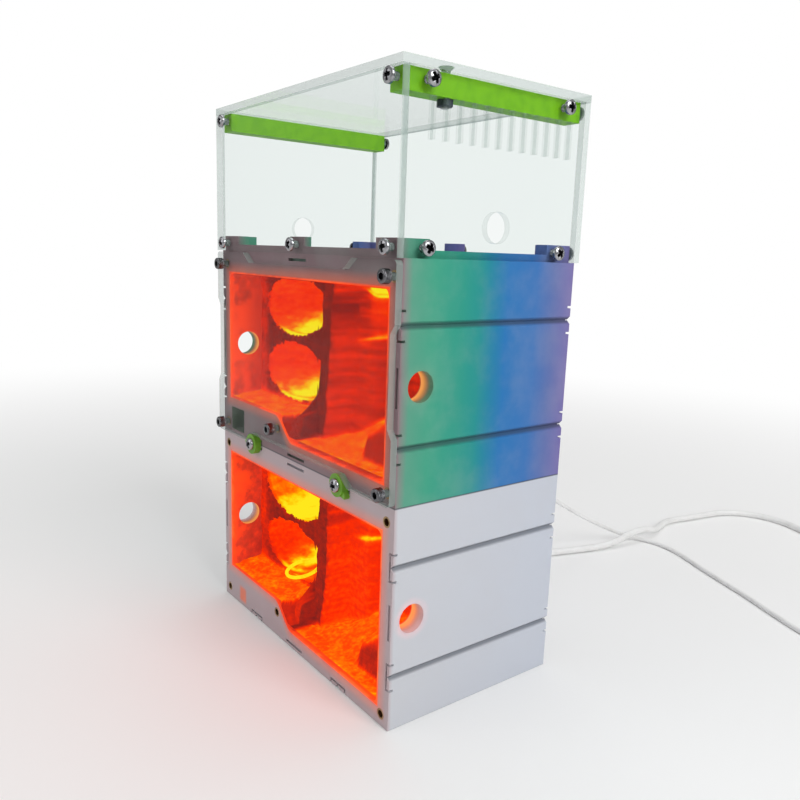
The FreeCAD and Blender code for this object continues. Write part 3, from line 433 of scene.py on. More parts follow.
def shell_colour(tree, x, y, z, gradient, base_level):
    """The print's colour: it fades with depth and is a little mottled; painted shade darkens the grooves, the
    joint and the front face, which also gets painted pink reflected light.
    """
    depth = spread_linear(tree, y, FRONT * MM, BACK * MM)
    colour = ramp(tree, maths(tree, "ADD", depth, waver(tree, 0.02, 35.0, 3.0)), gradient)
    colour = blend(tree, colour, patches(tree, 60.0, 4.0, 0.35, 0.75, 0.10), (0.55, 0.52, 0.52))
    # painted shade: the print turns near black in the grooves and along the joint of the modules
    return blend(tree, colour, painted_groove_and_seam_shade(tree, x, y, z, base_level), (0.05, 0.06, 0.08))


def shell_light(tree, x, y, in_bore, dimmer):
    """Colour of the cave's light on the shell: cloudy red and orange, which is brightest close
    behind the window, and yellow inside the tube holes."""
    cloud = maths(tree, "ADD", product(tree, noise(tree, 26.0, 4.0, (1, 1, 0.7)), 0.75),
                  product(tree, noise(tree, 260.0, 3.0), 0.25))
    far_in = maths(tree, "ADD", span(tree, y, FRONT, FRONT + 3, 0.40, 0.10),
                   span(tree, y, FRONT + 3, ROCK, 0.0, -0.24))
    shade = maths(tree, "ADD", spread(tree, cloud, 0.40, 0.60, 0.0, 0.50), far_in)
    light = ramp(tree, maths(tree, "SUBTRACT", shade, dimmer),
                 [(0.0, srgb(120, 22, 22)), (0.25, srgb(176, 34, 22)), (0.45, srgb(232, 52, 14)),
                  (0.75, srgb(255, 66, 10)), (1.0, srgb(255, 110, 46))])
    past_wall = span(tree, maths(tree, "ABSOLUTE", x), HOLLOW_HALF + 0.3, HOLLOW_HALF + 0.8, 0.0, 0.75)
    return blend(tree, light, product(tree, in_bore, past_wall), srgb(255, 190, 92))


def shell_print(name, gradient, base_level, pocket):
    """Printed shell with layer lines. The hollow, the edge of the window and the tube holes carry
    the cave's glow, which bleeds a little into the frame and into the sill's thin web."""
    mat, tree, bsdf = principled(name, (0.8, 0.8, 0.8), 0.55, Specular_IOR_Level=0.22)
    x, y, z = parts_of_place(tree)
    bump(tree, bsdf, layer_lines(tree, 0.0004), 0.10, 0.0001)

    outside = window_edge(tree, x, z, base_level)
    near = span(tree, outside, 0.1, 1.5, 1.0, 0.0)
    bleed = span(tree, outside, 0.4, 6.5, 0.20, 0.0)
    fore = span(tree, y, BACK - 12, BACK - 9, 1.0, 0.0)
    from_axis = tube_distance(tree, y, z, base_level)
    bore = span(tree, from_axis, TUBE_RADIUS + 0.15, TUBE_RADIUS + 1.2, 1.0, 0.0)
    halo = span(tree, from_axis, TUBE_RADIUS + 0.1, TUBE_RADIUS + 3.6, 0.10 if pocket else 0.26, 0.0)
    depth_in = span(tree, maths(tree, "ABSOLUTE", x), HOLLOW_HALF + 1, HALF_WIDTH - 1, 0.9, 0.06)
    in_bore = product(tree, bore, depth_in)
    glow = largest(tree, product(tree, largest(tree, near, bleed), fore), in_bore, halo)
    hot = product(tree, largest(tree, near, in_bore), fore)

    colour = shell_colour(tree, x, y, z, gradient, base_level)
    # painted light: the base colour turns dark red where the glow is strongest and orange where it bleeds
    # into the frame
    colour = blend(tree, colour, hot, srgb(140, 30, 12))
    colour = blend(tree, colour, product(tree, bleed, fore, 2.2), srgb(206, 120, 84))
    if pocket:
        colour = blend(tree, colour, water_pocket(tree, x, y, z), srgb(112, 128, 112))
    else:
        web = thin_web(tree, x, y, z)
        glow = largest(tree, glow, product(tree, web, 0.22))
        colour = blend(tree, colour, product(tree, web, 0.7), srgb(214, 120, 70))
    light = shell_light(tree, x, y, in_bore, dimmer=0.10 if pocket else 0.0)
    tree.links.new(colour, bsdf.inputs["Base Color"])
    tree.links.new(spread(tree, hot, 0.0, 1.0, 0.22, 0.0), bsdf.inputs["Specular IOR Level"])
    tree.links.new(light, bsdf.inputs["Emission Color"])
    tree.links.new(product(tree, glow, 0.92), bsdf.inputs["Emission Strength"])
    return mat


def plain_print(name, colour, other):
    """A small printed part in one colour, a little uneven."""
    mat, tree, bsdf = principled(name, colour, 0.42, Specular_IOR_Level=0.4)
    tint(tree, bsdf, colour, patches(tree, 240.0, 3.0, 0.35, 0.75, 0.5), other)
    bump(tree, bsdf, layer_lines(tree, 0.0003), 0.2, 0.0001)
    return mat


def outer_edge(tree):
    """For the sheets that stand across X: 1 along their outer edges, 0.35 on the edges of the vent
    slots and the tube hole."""
    low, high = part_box("right_pane")
    middle = (low[1] + high[1]) / 2
    half = (high[1] - low[1]) / 2
    away = off(tree, parts_of_place(tree)["Y"], middle / MM)
    return spread(tree, away, half - 4 * MM, half - 3 * MM, 0.35, 1.0)


def acrylic(name, normal_axis):
    """Clear sheet: see-through with a faint cast on its two faces, pale and half clear on the
    polished sawn edges; both mirror more at a flat angle."""
    mat = bpy.data.materials.new(name)
    mat.use_nodes = True
    tree = mat.node_tree
    tree.nodes.clear()
    out = tree.nodes.new("ShaderNodeOutputMaterial")
    face = parts_of(tree, add(tree, "NewGeometry").outputs["Normal"])[normal_axis]
    edge = spread(tree, maths(tree, "ABSOLUTE", face), 0.5, 0.9, 0.40, 0.0)
    if normal_axis == 0:
        edge = product(tree, edge, outer_edge(tree))
    pale = largest(tree, edge, patches(tree, 22.0, 5.0, 0.5, 0.85, 0.007))
    clear = add(tree, "BsdfTransparent", in_Color=(0.955, 0.97, 0.965, 1.0))
    body = add(tree, "BsdfDiffuse", in_Color=(*srgb(182, 198, 192), 1.0), in_Roughness=0.3)
    mirror = add(tree, "BsdfGlossy", in_Color=(1.0, 1.0, 1.0, 1.0), in_Roughness=0.04)
    facing = add(tree, "LayerWeight", in_Blend=0.5)
    flat = product(tree, maths(tree, "POWER", facing.outputs["Facing"], 5.0), 0.35)
    shine = maths(tree, "ADD", flat, 0.002)
    through = mixed(tree, pale, clear.outputs[0], body.outputs[0])
    tree.links.new(mixed(tree, shine, through, mirror.outputs[0]), out.inputs["Surface"])
    return mat


def steel(name, colour, roughness):
    """Plated screw steel with fine wear, and painted shade: near black in the recesses that the recess
    attribute marks.
    """
    mat, tree, bsdf = principled(name, colour, roughness, Metallic=1.0)
    worn = blend(tree, colour, patches(tree, 700.0, 3.0, 0.4, 0.75, 0.6), tuple(0.45 * c for c in colour))
    recess = add(tree, "Attribute", attribute_name="recess")
    tint(tree, bsdf, worn, recess.outputs["Fac"], (0.004, 0.004, 0.005))
    bump(tree, bsdf, noise(tree, 1500.0, 2.0), 0.15, 0.0001)
    return mat


def jacket(name, colour, worn):
    """Smooth plastic of the leads, glands and ties, faintly marked by handling."""
    mat, tree, bsdf = principled(name, colour, 0.38, Specular_IOR_Level=0.45)
    tint(tree, bsdf, colour, patches(tree, 120.0, 3.0, 0.4, 0.8, 0.35), worn)
    bump(tree, bsdf, noise(tree, 400.0, 2.0), 0.08, 0.0001)
    return mat


def stone(name):
    """The carved cave, lit from behind: the warmth attribute of each point picks its glow."""
    mat, tree, bsdf = principled(name, srgb(110, 28, 14), 0.9, Specular_IOR_Level=0.0)
    warmth = add(tree, "Attribute", attribute_name="warmth")
    grain = waver(tree, 0.24, 420.0, 5.0)
    streak = waver(tree, 0.20, 120.0, 4.0, (1, 1, 4))
    level = maths(tree, "ADD", warmth.outputs["Fac"], maths(tree, "ADD", grain, streak))
    glow = ramp(tree, level, [(0.0, srgb(56, 14, 16)), (0.15, srgb(104, 30, 28)), (0.3, srgb(156, 32, 22)),
                              (0.45, srgb(206, 38, 18)), (0.6, srgb(250, 46, 4)), (0.72, srgb(255, 76, 4)),
                              (0.82, srgb(255, 128, 4)), (0.92, srgb(255, 204, 4)),
                              (1.0, srgb(255, 242, 30))])
    tree.links.new(glow, bsdf.inputs["Emission Color"])
    bsdf.inputs["Emission Strength"].default_value = 0.9
    bump(tree, bsdf, noise(tree, 650.0, 4.0), 0.5, 0.0004)
    return mat


def lamp_dome(name):
    """The milky dome of a lamp that is lit: orange with yellow clouds."""
    mat, tree, bsdf = principled(name, srgb(255, 96, 40), 0.3)
    cloud = patches(tree, 500.0, 2.0, 0.35, 0.65)
    glow = ramp(tree, cloud, [(0.0, srgb(255, 110, 30)), (1.0, srgb(255, 210, 90))])
    tree.links.new(glow, bsdf.inputs["Emission Color"])
    bsdf.inputs["Emission Strength"].default_value = 0.9
    return mat


def circuit(name):
    """Lamp board: dark green mask with faint copper under it."""
    mask = (0.02, 0.09, 0.04)
    mat, tree, bsdf = principled(name, mask, 0.35)
    tint(tree, bsdf, mask, patches(tree, 300.0, 1.0, 0.45, 0.55), (0.03, 0.14, 0.07))
    return mat


# ---------------------------------------------------------------- meshes

def grid_object(name, points, attributes=None, drop=None, close_columns=False):
    """A mesh from a grid of points (rows, columns, 3) in millimetres. Quads whose first corner is
    marked in drop are left out, attributes are numbers on the same grid, and points that coincide
    are merged."""
    rows, columns = points.shape[:2]
    index = np.arange(rows * columns).reshape(rows, columns)
    down = np.roll(index, -1, axis=0)
    right = np.roll(index, -1, axis=1)
    quads = np.stack([index, right, np.roll(down, -1, axis=1), down], axis=-1)[:-1]
    if not close_columns:
        quads = quads[:, :-1]
    if drop is not None:
        quads = quads[~drop[:quads.shape[0], :quads.shape[1]]]
    used, corners = np.unique(quads.ravel(), return_inverse=True)
    mesh = bpy.data.meshes.new(name)
    mesh.vertices.add(len(used))
    mesh.vertices.foreach_set("co", (points.reshape(-1, 3)[used] * MM).astype(np.float32).ravel())
    mesh.loops.add(len(corners))
    mesh.loops.foreach_set("vertex_index", corners.astype(np.int32))
    mesh.polygons.add(len(corners) // 4)
    mesh.polygons.foreach_set("loop_start", np.arange(0, len(corners), 4, dtype=np.int32))
    mesh.polygons.foreach_set("use_smooth", np.ones(len(corners) // 4, bool))
    mesh.update(calc_edges=True)
    for key, values in (attributes or {}).items():
        attribute = mesh.attributes.new(key, "FLOAT", "POINT")
        attribute.data.foreach_set("value", values.ravel()[used].astype(np.float32))
    merged(mesh)
    piece = bpy.data.objects.new(name, mesh)
    bpy.context.scene.collection.objects.link(piece)
    return piece


def merged(mesh, reach=1e-7):
    """Join a mesh's coinciding points."""
    work = bmesh.new()
    work.from_mesh(mesh)
    bmesh.ops.remove_doubles(work, verts=work.verts, dist=reach)
    work.to_mesh(mesh)
    work.free()


def joined(name, pieces):
    """One object from several."""
    bpy.ops.object.select_all(action="DESELECT")
    for piece in pieces:
        piece.select_set(True)
    bpy.context.view_layer.objects.active = pieces[0]
    if len(pieces) > 1:
        bpy.ops.object.join()
    pieces[0].name = name
    return pieces[0]


def lattice(u, v, cell_u, cell_v, seed):
    """Smooth noise from 0 to 1: random numbers on a lattice, blended by 3t^2 - 2t^3."""
    table = np.random.default_rng(seed).random((256, 256))
    a = u / cell_u
    b = v / cell_v
    i = np.floor(a).astype(int)
    j = np.floor(b).astype(int)
    s = (a - i) ** 2 * (3 - 2 * (a - i))
    t = (b - j) ** 2 * (3 - 2 * (b - j))
    near = table[i % 256, j % 256] * (1 - s) + table[(i + 1) % 256, j % 256] * s
    far = table[i % 256, (j + 1) % 256] * (1 - s) + table[(i + 1) % 256, (j + 1) % 256] * s
    return near * (1 - t) + far * t


def rough(u, v, cell, seed, squash=1.0):
    """Three octaves of lattice noise, from -1 to 1."""
    total = sum(lattice(u, v, cell * squash / 2 ** k, cell / 2 ** k, seed + k) / 2 ** k for k in range(3))
    return total / 0.875 - 1.0


def ease(value, low, high):
    """0 below low, 1 above high, smooth between."""
    t = np.clip((value - low) / (high - low), 0.0, 1.0)
    return t * t * (3 - 2 * t)


def turn_angles(count):
    """Equal steps of one turn, as a row."""
    return np.linspace(0.0, 2 * math.pi, count, endpoint=False)[None, :]


def steps(count):
    """Equal steps from 0 to 1, as a column."""
    return np.linspace(0.0, 1.0, count)[:, None]


# ---------------------------------------------------------------- the cave

def sway(x, z, seed):
    """Place along the window, with the lean and the uneven edges of the column straightened out."""
    return x - 0.08 * (z - 45.0) + 0.7 * rough(x, z, 7.0, seed + 40) + 0.6 * np.sin(z / 8.0)


def ledge_line(x, z, seed):
    """Level of the ragged front edge of the ledge, which rises to the right."""
    return LEDGE + 0.15 * (x - BAY) + 1.2 * rough(x, z, 9.0, seed + 27)


def chamber_edge(level):
    """Where a chamber ends beside the column."""
    return CHAMBER_EDGE + 0.055 * (level - CHAMBER_LEVELS[0])


def wall_depth(x, z, seed):
    """How far the rock lies behind its face: hewn on the left, a column with a spread foot, a hall
    with thin uneven courses, then a deeper bay and, over the ledge, an alcove."""
    hewn = 0.8 * rough(x, z, 10.0, seed) + 0.4 * rough(x, z, 2.6, seed + 5)
    above = z - CAVE_FLOOR
    front = -COLUMN_PROUD - 0.8 * (1 - ease(above, 0.0, 16.0))
    straight = sway(x, z, seed)
    column = front * ease(straight, COLUMN_LEFT - 1.0, COLUMN_LEFT + 1.0)
    footing = 2.2 * front * ease(x, -15.0, -9.0) * (1 - ease(x, -4.0, 3.0)) * (1 - ease(above, 8.5, 12.0))
    left = hewn + np.minimum(column, footing)
    courses = 0.9 * rough(x, z, 2.4, seed + 20, squash=5.0) + 0.9 * rough(x, z, 9.0, seed + 23, squash=2.0)
    line = ledge_line(x, z, seed)
    ledge = ease(z, line - 0.8, line + 0.8)
    hall = HALL_DEPTH + courses + 2.2 * ledge * ease(x, 10.0, 14.0)
    bay = BAY_DEPTH + 0.7 * rough(x, z, 7.0, seed + 30) + ALCOVE_DEPTH * ledge
    brink = x + 1.6 * rough(x, z, 8.0, seed + 33)
    right = hall + (bay - hall) * ease(brink, BAY - 2.0, BAY + 2.0)
    return left + (right - left) * ease(straight, COLUMN_RIGHT, COLUMN_RIGHT + 1.6)


def floor_level(x, behind):
    """Height of the cave floor at a distance behind the front face: a sharp drop from the sill on
    the left, sand that climbs to the back of the hall and a burrow's steep face on the right."""
    climb = (0.08 + 0.40 * ease(x, 5.0, 25.0)) * np.clip(behind - 9.0, 0.0, 25.0)
    shaky = 1.2 * rough(x, 3.0 * behind, 9.0, 62) + 0.5 * rough(x, behind, 2.5, 64)
    raised = (11.0 + 7.5 * ease(x, 42.0, 57.0)) * ease(behind + shaky, 6.0, 10.0)
    raised = raised + 0.2 * np.clip(behind - 9.5, 0.0, 25.0)
    beside = ease(x + 2.2 * rough(x, behind, 6.0, 66) + 0.35 * behind, RISER, RISER + 6.0)
    right = CAVE_FLOOR + climb + (raised - climb) * beside
    left = SILL_FLOOR + 0.09 * behind + 1.5 * rough(x, behind, 14.0, 68) * ease(behind, 3.0, 9.0)
    sand = 0.45 * rough(x, behind, 3.0, 71) + 0.3 * rough(x, behind, 1.2, 75)
    drop = -x + 0.8 * rough(x, behind, 5.0, 77) - 0.3 * (12.0 - np.clip(behind, 0.0, 12.0))
    level = right + (left - right) * ease(drop, 8.5, 11.5)
    sill = HOLLOW_LOW + SILL_RISE * ease(-x, -SILL_FOOT, -SILL_EDGE) + 0.45
    return np.maximum(level + sand * ease(behind, 1.0, 3.5), sill)


def floor_warmth(x, behind, level, hotter):
    """Glow of the floor: bright sand, dull where it drops from the sill and in the burrow."""
    warmth = 0.735 + 0.05 * rough(x, behind, 6.0, 81) + 0.05 * rough(x, behind, 0.9, 84)
    warmth = warmth + 0.07 * (1 - ease(behind, 0.0, 4.0))
    face = ease(x, RISER - 1.0, RISER + 3.0) * ease(level, CAVE_FLOOR + 0.8, CAVE_FLOOR + 2.5)
    face = face * (1 - ease(level - CAVE_FLOOR - 7.0 * ease(x, 42.0, 57.0), 8.0, 11.5))
    fallen = ease(-level, -18.6, -17.4) * ease(-x, -2.0, 3.0)
    # painted shade: the glow is dimmer on the burrow's steep face
    warmth = warmth - 0.40 * face * ease(-behind, -14.0, -11.0)
    dull = 0.16 + (0.12 + 0.14 * hotter) * ease(-x, 3.5, 5.5) + 0.06 * rough(x, behind, 3.0, 86)
    return warmth + (dull - warmth) * fallen


def wall_warmth(x, z, seed, hotter):
    """Glow of the rock: dull on the thick column and bridge, bright in the thin hall wall."""
    thick = 0.16 + 0.09 * rough(x, z, 8.0, seed + 50) + 0.09 * rough(x, z, 1.8, seed + 54)
    thick = thick + 0.26 * ease(-x, 56.0, 63.0) + 0.16 * ease(-z, -27.0, -21.0) * ease(-x, 12.0, 18.0)
    foot = ease(-z, -22.5, -19.0) * ease(-x, 3.5, 5.5) * (1 - ease(-x, 14.0, 17.0))
    thick = thick + (0.12 + 0.14 * hotter + 0.06 * rough(x, z, 3.0, seed + 88)) * foot
    courses = 0.15 * rough(x, z, 2.2, seed + 20, squash=6.0) + 0.08 * rough(x, z, 12.0, seed + 52)
    hall = 0.47 + 0.08 * hotter + courses * (1 - 0.7 * hotter)
    hall = hall + 0.14 * ease(z, 50.0, 62.0) * ease(x, 10.0, 20.0)
    hall = hall - 0.08 * ease(x, BAY - 2.0, BAY + 2.0) * ease(-z, -LEDGE - 2.0, -LEDGE + 3.0)
    patchy = rough(x, z, 9.0, seed + 56)
    # the glow is dimmer in patches at the top left of the hall
    dim_top_left_patch = ease(z + 9.0 * patchy, 54.0, 68.0) * (1 - ease(x + 6.0 * patchy, 7.0, 20.0))
    hall = hall - 0.26 * dim_top_left_patch * ease(rough(x, z, 4.0, seed + 58), -0.7, 0.4)
    over = z - ledge_line(x, z, seed)
    along = ease(x, 7.0, 19.0)
    # painted highlight along the ledge's edge, and painted shadow just above it
    hall = hall + 0.28 * np.exp(-(over / 1.1) ** 2) * along
    hall = hall - 0.15 * np.exp(-((over - 4.5) / 2.6) ** 2) * along
    # painted light: the lamp behind the wall shows as a bright spot with rings
    spot = np.exp(-((x - 21.0) / 8.0) ** 2 - ((z - 79.0) / 5.0) ** 2)
    ripple = 0.16 * spot * np.sin(np.hypot(x - 22.0, 1.5 * (z - 82.0)) * 1.9)
    hall = hall + 0.56 * spot + ripple
    side = ease(sway(x, z, seed), COLUMN_RIGHT - 0.5, COLUMN_RIGHT + 0.2)
    return thick + 0.06 * hotter + (hall - thick) * side


def in_chamber(x, y, z, level):
    """Below 1 inside a chamber: the sum of ((place - middle) / half axis) squared."""
    wide, deep, high = CHAMBER_HALF
    middle = ROCK + CHAMBER_SINK
    reach = np.where(x > CHAMBER_X, CHAMBER_REACH, wide)
    inside = ((x - CHAMBER_X) / reach) ** 2 + ((y - middle) / deep) ** 2 + ((z - level) / high) ** 2
    edge = chamber_edge(level)
    return inside + 3.0 * ease(x, edge - 0.2, edge + 0.2)


def cave_surface(seed, hotter):
    """The rock as a grid that is swept in X along a path: over the floor, up the wall and back
    under the ceiling. Gives its points, its warmth and which of its rows are the wall."""
    x = np.linspace(-CAVE_HALF + 0.05, CAVE_HALF - 0.05, CAVE_COLUMNS)
    start = FRONT + 0.7
    foot_y = ROCK + wall_depth(x, floor_level(x, np.full_like(x, ROCK - FRONT)), seed)
    foot_y = ROCK + wall_depth(x, floor_level(x, foot_y - FRONT), seed)
    floor_y = start + (foot_y - start) * steps(FLOOR_ROWS)
    floor_x = np.broadcast_to(x, floor_y.shape)
    floor_z = floor_level(floor_x, floor_y - FRONT)
    wall_z = floor_z[-1] + (CAVE_TOP - floor_z[-1]) * steps(WALL_ROWS)[1:]
    wall_x = np.broadcast_to(x, wall_z.shape)
    wall_y = ROCK + wall_depth(wall_x, wall_z, seed)
    wall_y[0] = foot_y
    roof_y = wall_y[-1] + (start - wall_y[-1]) * steps(ROOF_ROWS)[1:]
    roof_x = np.broadcast_to(x, roof_y.shape)
    roof_z = np.full_like(roof_y, CAVE_TOP)
    points = np.stack([np.concatenate([floor_x, wall_x, roof_x]), np.concatenate([floor_y, wall_y, roof_y]),
                       np.concatenate([floor_z, wall_z, roof_z])], axis=-1)

    floor_heat = floor_warmth(floor_x, floor_y - FRONT, floor_z, hotter)
    wall_heat = wall_warmth(wall_x, wall_z, seed, hotter)
    creep = (1 - ease(wall_z - floor_z[-1], 0.0, 2.5)) * 0.7
    wall_heat = wall_heat + (floor_heat[-1] - wall_heat) * creep
    roof_heat = 0.30 + 0.25 * ease(roof_x, 4.0, 16.0)
    heat = np.concatenate([floor_heat, wall_heat, roof_heat])
    return points, heat, slice(len(floor_y), len(floor_y) + len(wall_y))


def cave(prefix, base_level, seed, hotter, dish_rim_glow):
    """The carved cave of one module: its rock, with the ragged mouths of two chambers cut into the
    left half of the wall, and the chambers behind them."""
    points, heat, wall = cave_surface(seed, hotter)
    x = points[wall, :, 0]
    z = points[wall, :, 2]
    drop = np.zeros(heat.shape, bool)
    for k, level in enumerate(CHAMBER_LEVELS):
        ragged = 0.07 * rough(x, z, 8.0, seed + 60 + k) + 0.16 * rough(x, z, 1.7, seed + 70 + k)
        inside = in_chamber(x, ROCK, z, level) + ragged * ease(-x, 7.0, 14.0)
        drop[wall] |= inside < 0.97
        points[wall, :, 1] += 0.8 * (1 - ease(inside, 0.95, 1.06))
        heat[wall] += 0.10 * (1 - ease(inside, 0.9, 1.15)) * ease(-z, -level + 2.0, -level + 12.0)
    drop &= np.roll(drop, -1, axis=0)
    drop &= np.roll(drop, -1, axis=1)
    pieces = [grid_object(prefix + "_rock", points + (0.0, 0.0, base_level), {"warmth": heat}, drop)]
    for k, level in enumerate(CHAMBER_LEVELS):
        lit = dish_rim_glow and k == 1
        pieces.append(chamber(prefix, level, base_level, seed + 90 + k, hotter * (k == 0), lit))
    piece = joined(prefix + "_cave", pieces)
    piece.data.materials.append(MATERIALS["stone"])
    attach(piece, "tower")
    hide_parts(prefix + "_cave_insert")


def chamber(prefix, level, base_level, seed, hotter, dish_rim_glow):
    """A round chamber: the part of an ellipsoid that lies behind the rock face, its wall a little
    uneven. The lamp behind it makes the lower back of it yellow; the lower chamber may hold a glowing
    ring, painted light on the lit rim of a round dish."""
    wide, deep, high = CHAMBER_HALF
    tilt = steps(84) * math.acos(-(CHAMBER_SINK - 0.8) / deep)
    turn = np.linspace(2 * math.pi, 0.0, 160, endpoint=False)[None, :]
    grit = rough(30.0 * np.cos(turn) + 0 * tilt, 30.0 * np.sin(turn) + 25.0 * tilt, 6.0, seed)
    grit = 1.0 + 0.018 * grit * np.sin(tilt)
    x = CHAMBER_X + np.where(np.cos(turn) > 0, CHAMBER_REACH, wide) * np.sin(tilt) * np.cos(turn) * grit
    x = np.minimum(x, chamber_edge(level) + 0.3)
    y = ROCK + CHAMBER_SINK + deep * np.cos(tilt) * grit + 0.0 * turn
    z = np.minimum(level + high * np.sin(tilt) * np.sin(turn) * grit, CAVE_TOP - 0.05)
    below = ease(level - z, 1.0 - 9.0 * hotter, 10.0 - 3.0 * hotter)
    lamp = np.exp(-((x + 42.0 - 4.0 * hotter) / (10.0 + 5.0 * hotter)) ** 2)
    heat = 0.61 + 0.05 * rough(x, z, 6.0, seed + 3) + 0.07 * hotter
    heat = heat + 0.06 * hotter * rough(x, z, 2.5, seed + 6) + (0.08 + 0.33 * lamp) * below
    heat = heat + 0.10 * np.sin((z + 0.35 * x - 0.4 * y) * 2.2) * below * lamp * (1 - 0.6 * hotter)
    if dish_rim_glow:
        # painted light: below the chamber's middle the wall is dimmer, except for a painted pool of the
        # ring's light
        near_ring = np.exp(-((x + 27.0) / 8.0) ** 2 - ((y - ROCK - 6.0) / 8.0) ** 2)
        heat = heat + 0.02 - 0.14 * below + 0.16 * near_ring * below
    heat = heat - 0.14 * ease(y, ROCK + 4.0, ROCK + 0.5)
    points = np.stack([x, y, z + base_level], axis=-1)
    pieces = [grid_object(prefix + "_chamber", points, {"warmth": heat}, close_columns=True)]
    if dish_rim_glow:
        pieces.append(glowing_dish_rim(base_level))
    return joined(prefix + "_chamber", pieces)


def glowing_dish_rim(base_level):
    """The glowing ring in the lower chamber, painted light on the lit rim of a round dish: a torus,
    whose circle point at each angle is moved out and up by the tube's cosine and sine, and whose
    axis leans towards the window."""
    around = np.linspace(0.0, 2 * math.pi, 73)[:, None]
    tube = turn_angles(12)
    reach = RING_RADIUS + RING_TUBE * np.cos(tube)
    flat = np.stack([reach * np.cos(around), reach * np.sin(around), RING_TUBE * np.sin(tube) + 0.0 * around],
                    axis=-1)
    lean = np.array(Matrix.Rotation(math.radians(14), 3, "X") @ Matrix.Rotation(math.radians(-4), 3, "Y"))
    points = flat @ lean.T + np.array(RING_PLACE) + (0.0, 0.0, base_level)
    glow = np.full(points.shape[:2], 0.99)
    return grid_object("glowing_dish_rim", points, {"warmth": glow}, close_columns=True)


# ---------------------------------------------------------------- screws

def along_screw(place, out, u, v, level):
    """Grid points from their places across a level screw and along its outward axis."""
    out = Vector(out)
    side = Vector((0, 0, 1)).cross(out)
    up = out.cross(side)
    return (np.array(place) + u[..., None] * np.array(side) + v[..., None] * np.array(up)
            + level[..., None] * np.array(out))


def cross_arm(along, across, arm, reach):
    """1 in one arm of a cross recess, with soft edges."""
    return (1 - ease(np.abs(across), arm, arm * 1.9)) * (1 - ease(np.abs(along), reach, reach * 1.25))


def screw_head(name, place, out, radius, height, turn):
    """A pan head with a cross recess: height h(r) = H sqrt(1 - 0.72 (r / R)^2), less the cross of
    two arms that lie at an angle of turn in the head's own plane."""
    r = np.concatenate([steps(22), [[1.0]]]) * radius
    angle = turn_angles(64)
    u = r * np.cos(angle)
    v = r * np.sin(angle)
    level = height * np.sqrt(1.0 - 0.72 * (r / radius) ** 2) + 0.0 * angle
    du = u * math.cos(turn) + v * math.sin(turn)
    dv = -u * math.sin(turn) + v * math.cos(turn)
    arm = 0.15 * radius
    reach = 0.56 * radius
    cross = np.maximum(cross_arm(dv, du, arm, reach), cross_arm(du, dv, arm, reach))
    level = level - 0.72 * height * cross * (1.0 - 0.5 * r / radius)
    level[-1] = 0.0
    # painted shade: the cross recess is marked to turn near black
    recess = np.clip(1.3 * cross, 0.0, 1.0)
    return grid_object(name, along_screw(place, out, u, v, level), {"recess": recess}, close_columns=True)


def screw_set(node, seats, shank=SHANK):
    """Pan heads with threaded shanks, in place of a node's plain ones."""
    parts = []
    for k, (place, out) in enumerate(seats):
        parts.append(screw_head(node + "_head", place, out, *PAN_HEAD, 0.5 + 1.1 * k))
        parts.append(shank_mesh(node + "_shank", place, out, *shank))
    piece = joined(node + "_detail", parts)
    piece.data.materials.append(MATERIALS["steel"])
    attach(piece, "tower")
    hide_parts(node)


def shank_mesh(name, place, out, radius, length):
    """A threaded shank: its radius less 0.12 (1 + cos(2 pi along / pitch - angle)) millimetres,
    which winds the thread round it as a helix."""
    along = steps(int(length / THREAD_PITCH) * 6) * length
    angle = turn_angles(20)
    ridge = radius - 0.12 * (1 + np.cos(2 * math.pi * along / THREAD_PITCH - angle))
    points = along_screw(place, out, ridge * np.cos(angle), ridge * np.sin(angle), -along + 0.0 * angle)
    return grid_object(name, points, close_columns=True)


def screws():
    """All the screws that are seen: the pane screws on four sides, the screws of the joint clips
    and the cap screws of the front plate."""
    ahead = FRONT - SHEET
    behind = BACK + SHEET
    ends = [(-PANE_SCREW_END, PANE_SCREW_TOP), (PANE_SCREW_END, PANE_SCREW_TOP)]
    ends += [(x, PANE_SCREW_LOW) for x in (-PANE_SCREW_END, 0.0, PANE_SCREW_END)]
    screw_set("front_pane_screws", [((x, ahead, z), (0, -1, 0)) for x, z in ends])
    screw_set("back_pane_screws", [((x, behind, z), (0, 1, 0)) for x, z in ends])
    sides = [(-SIDE_SCREW_TOP, PANE_SCREW_TOP), (SIDE_SCREW_TOP, PANE_SCREW_TOP)]
    sides += [(-SIDE_SCREW_LOW, PANE_SCREW_LOW), (SIDE_SCREW_LOW, PANE_SCREW_LOW)]
    screw_set("right_pane_screws", [((HALF_WIDTH, y, z), (1, 0, 0)) for y, z in sides])
    screw_set("left_pane_screws", [((-HALF_WIDTH, y, z), (-1, 0, 0)) for y, z in sides])
    clips = [((x, ahead, STOREY), (0, -1, 0)) for x in (-CLIP_PLACE, CLIP_PLACE)]
    clips += [((x, behind, STOREY), (0, 1, 0)) for x in (-CLIP_PLACE, CLIP_PLACE)]
    screw_set("clip_screws", clips, CLIP_SHANK)
    front_plate_screws()


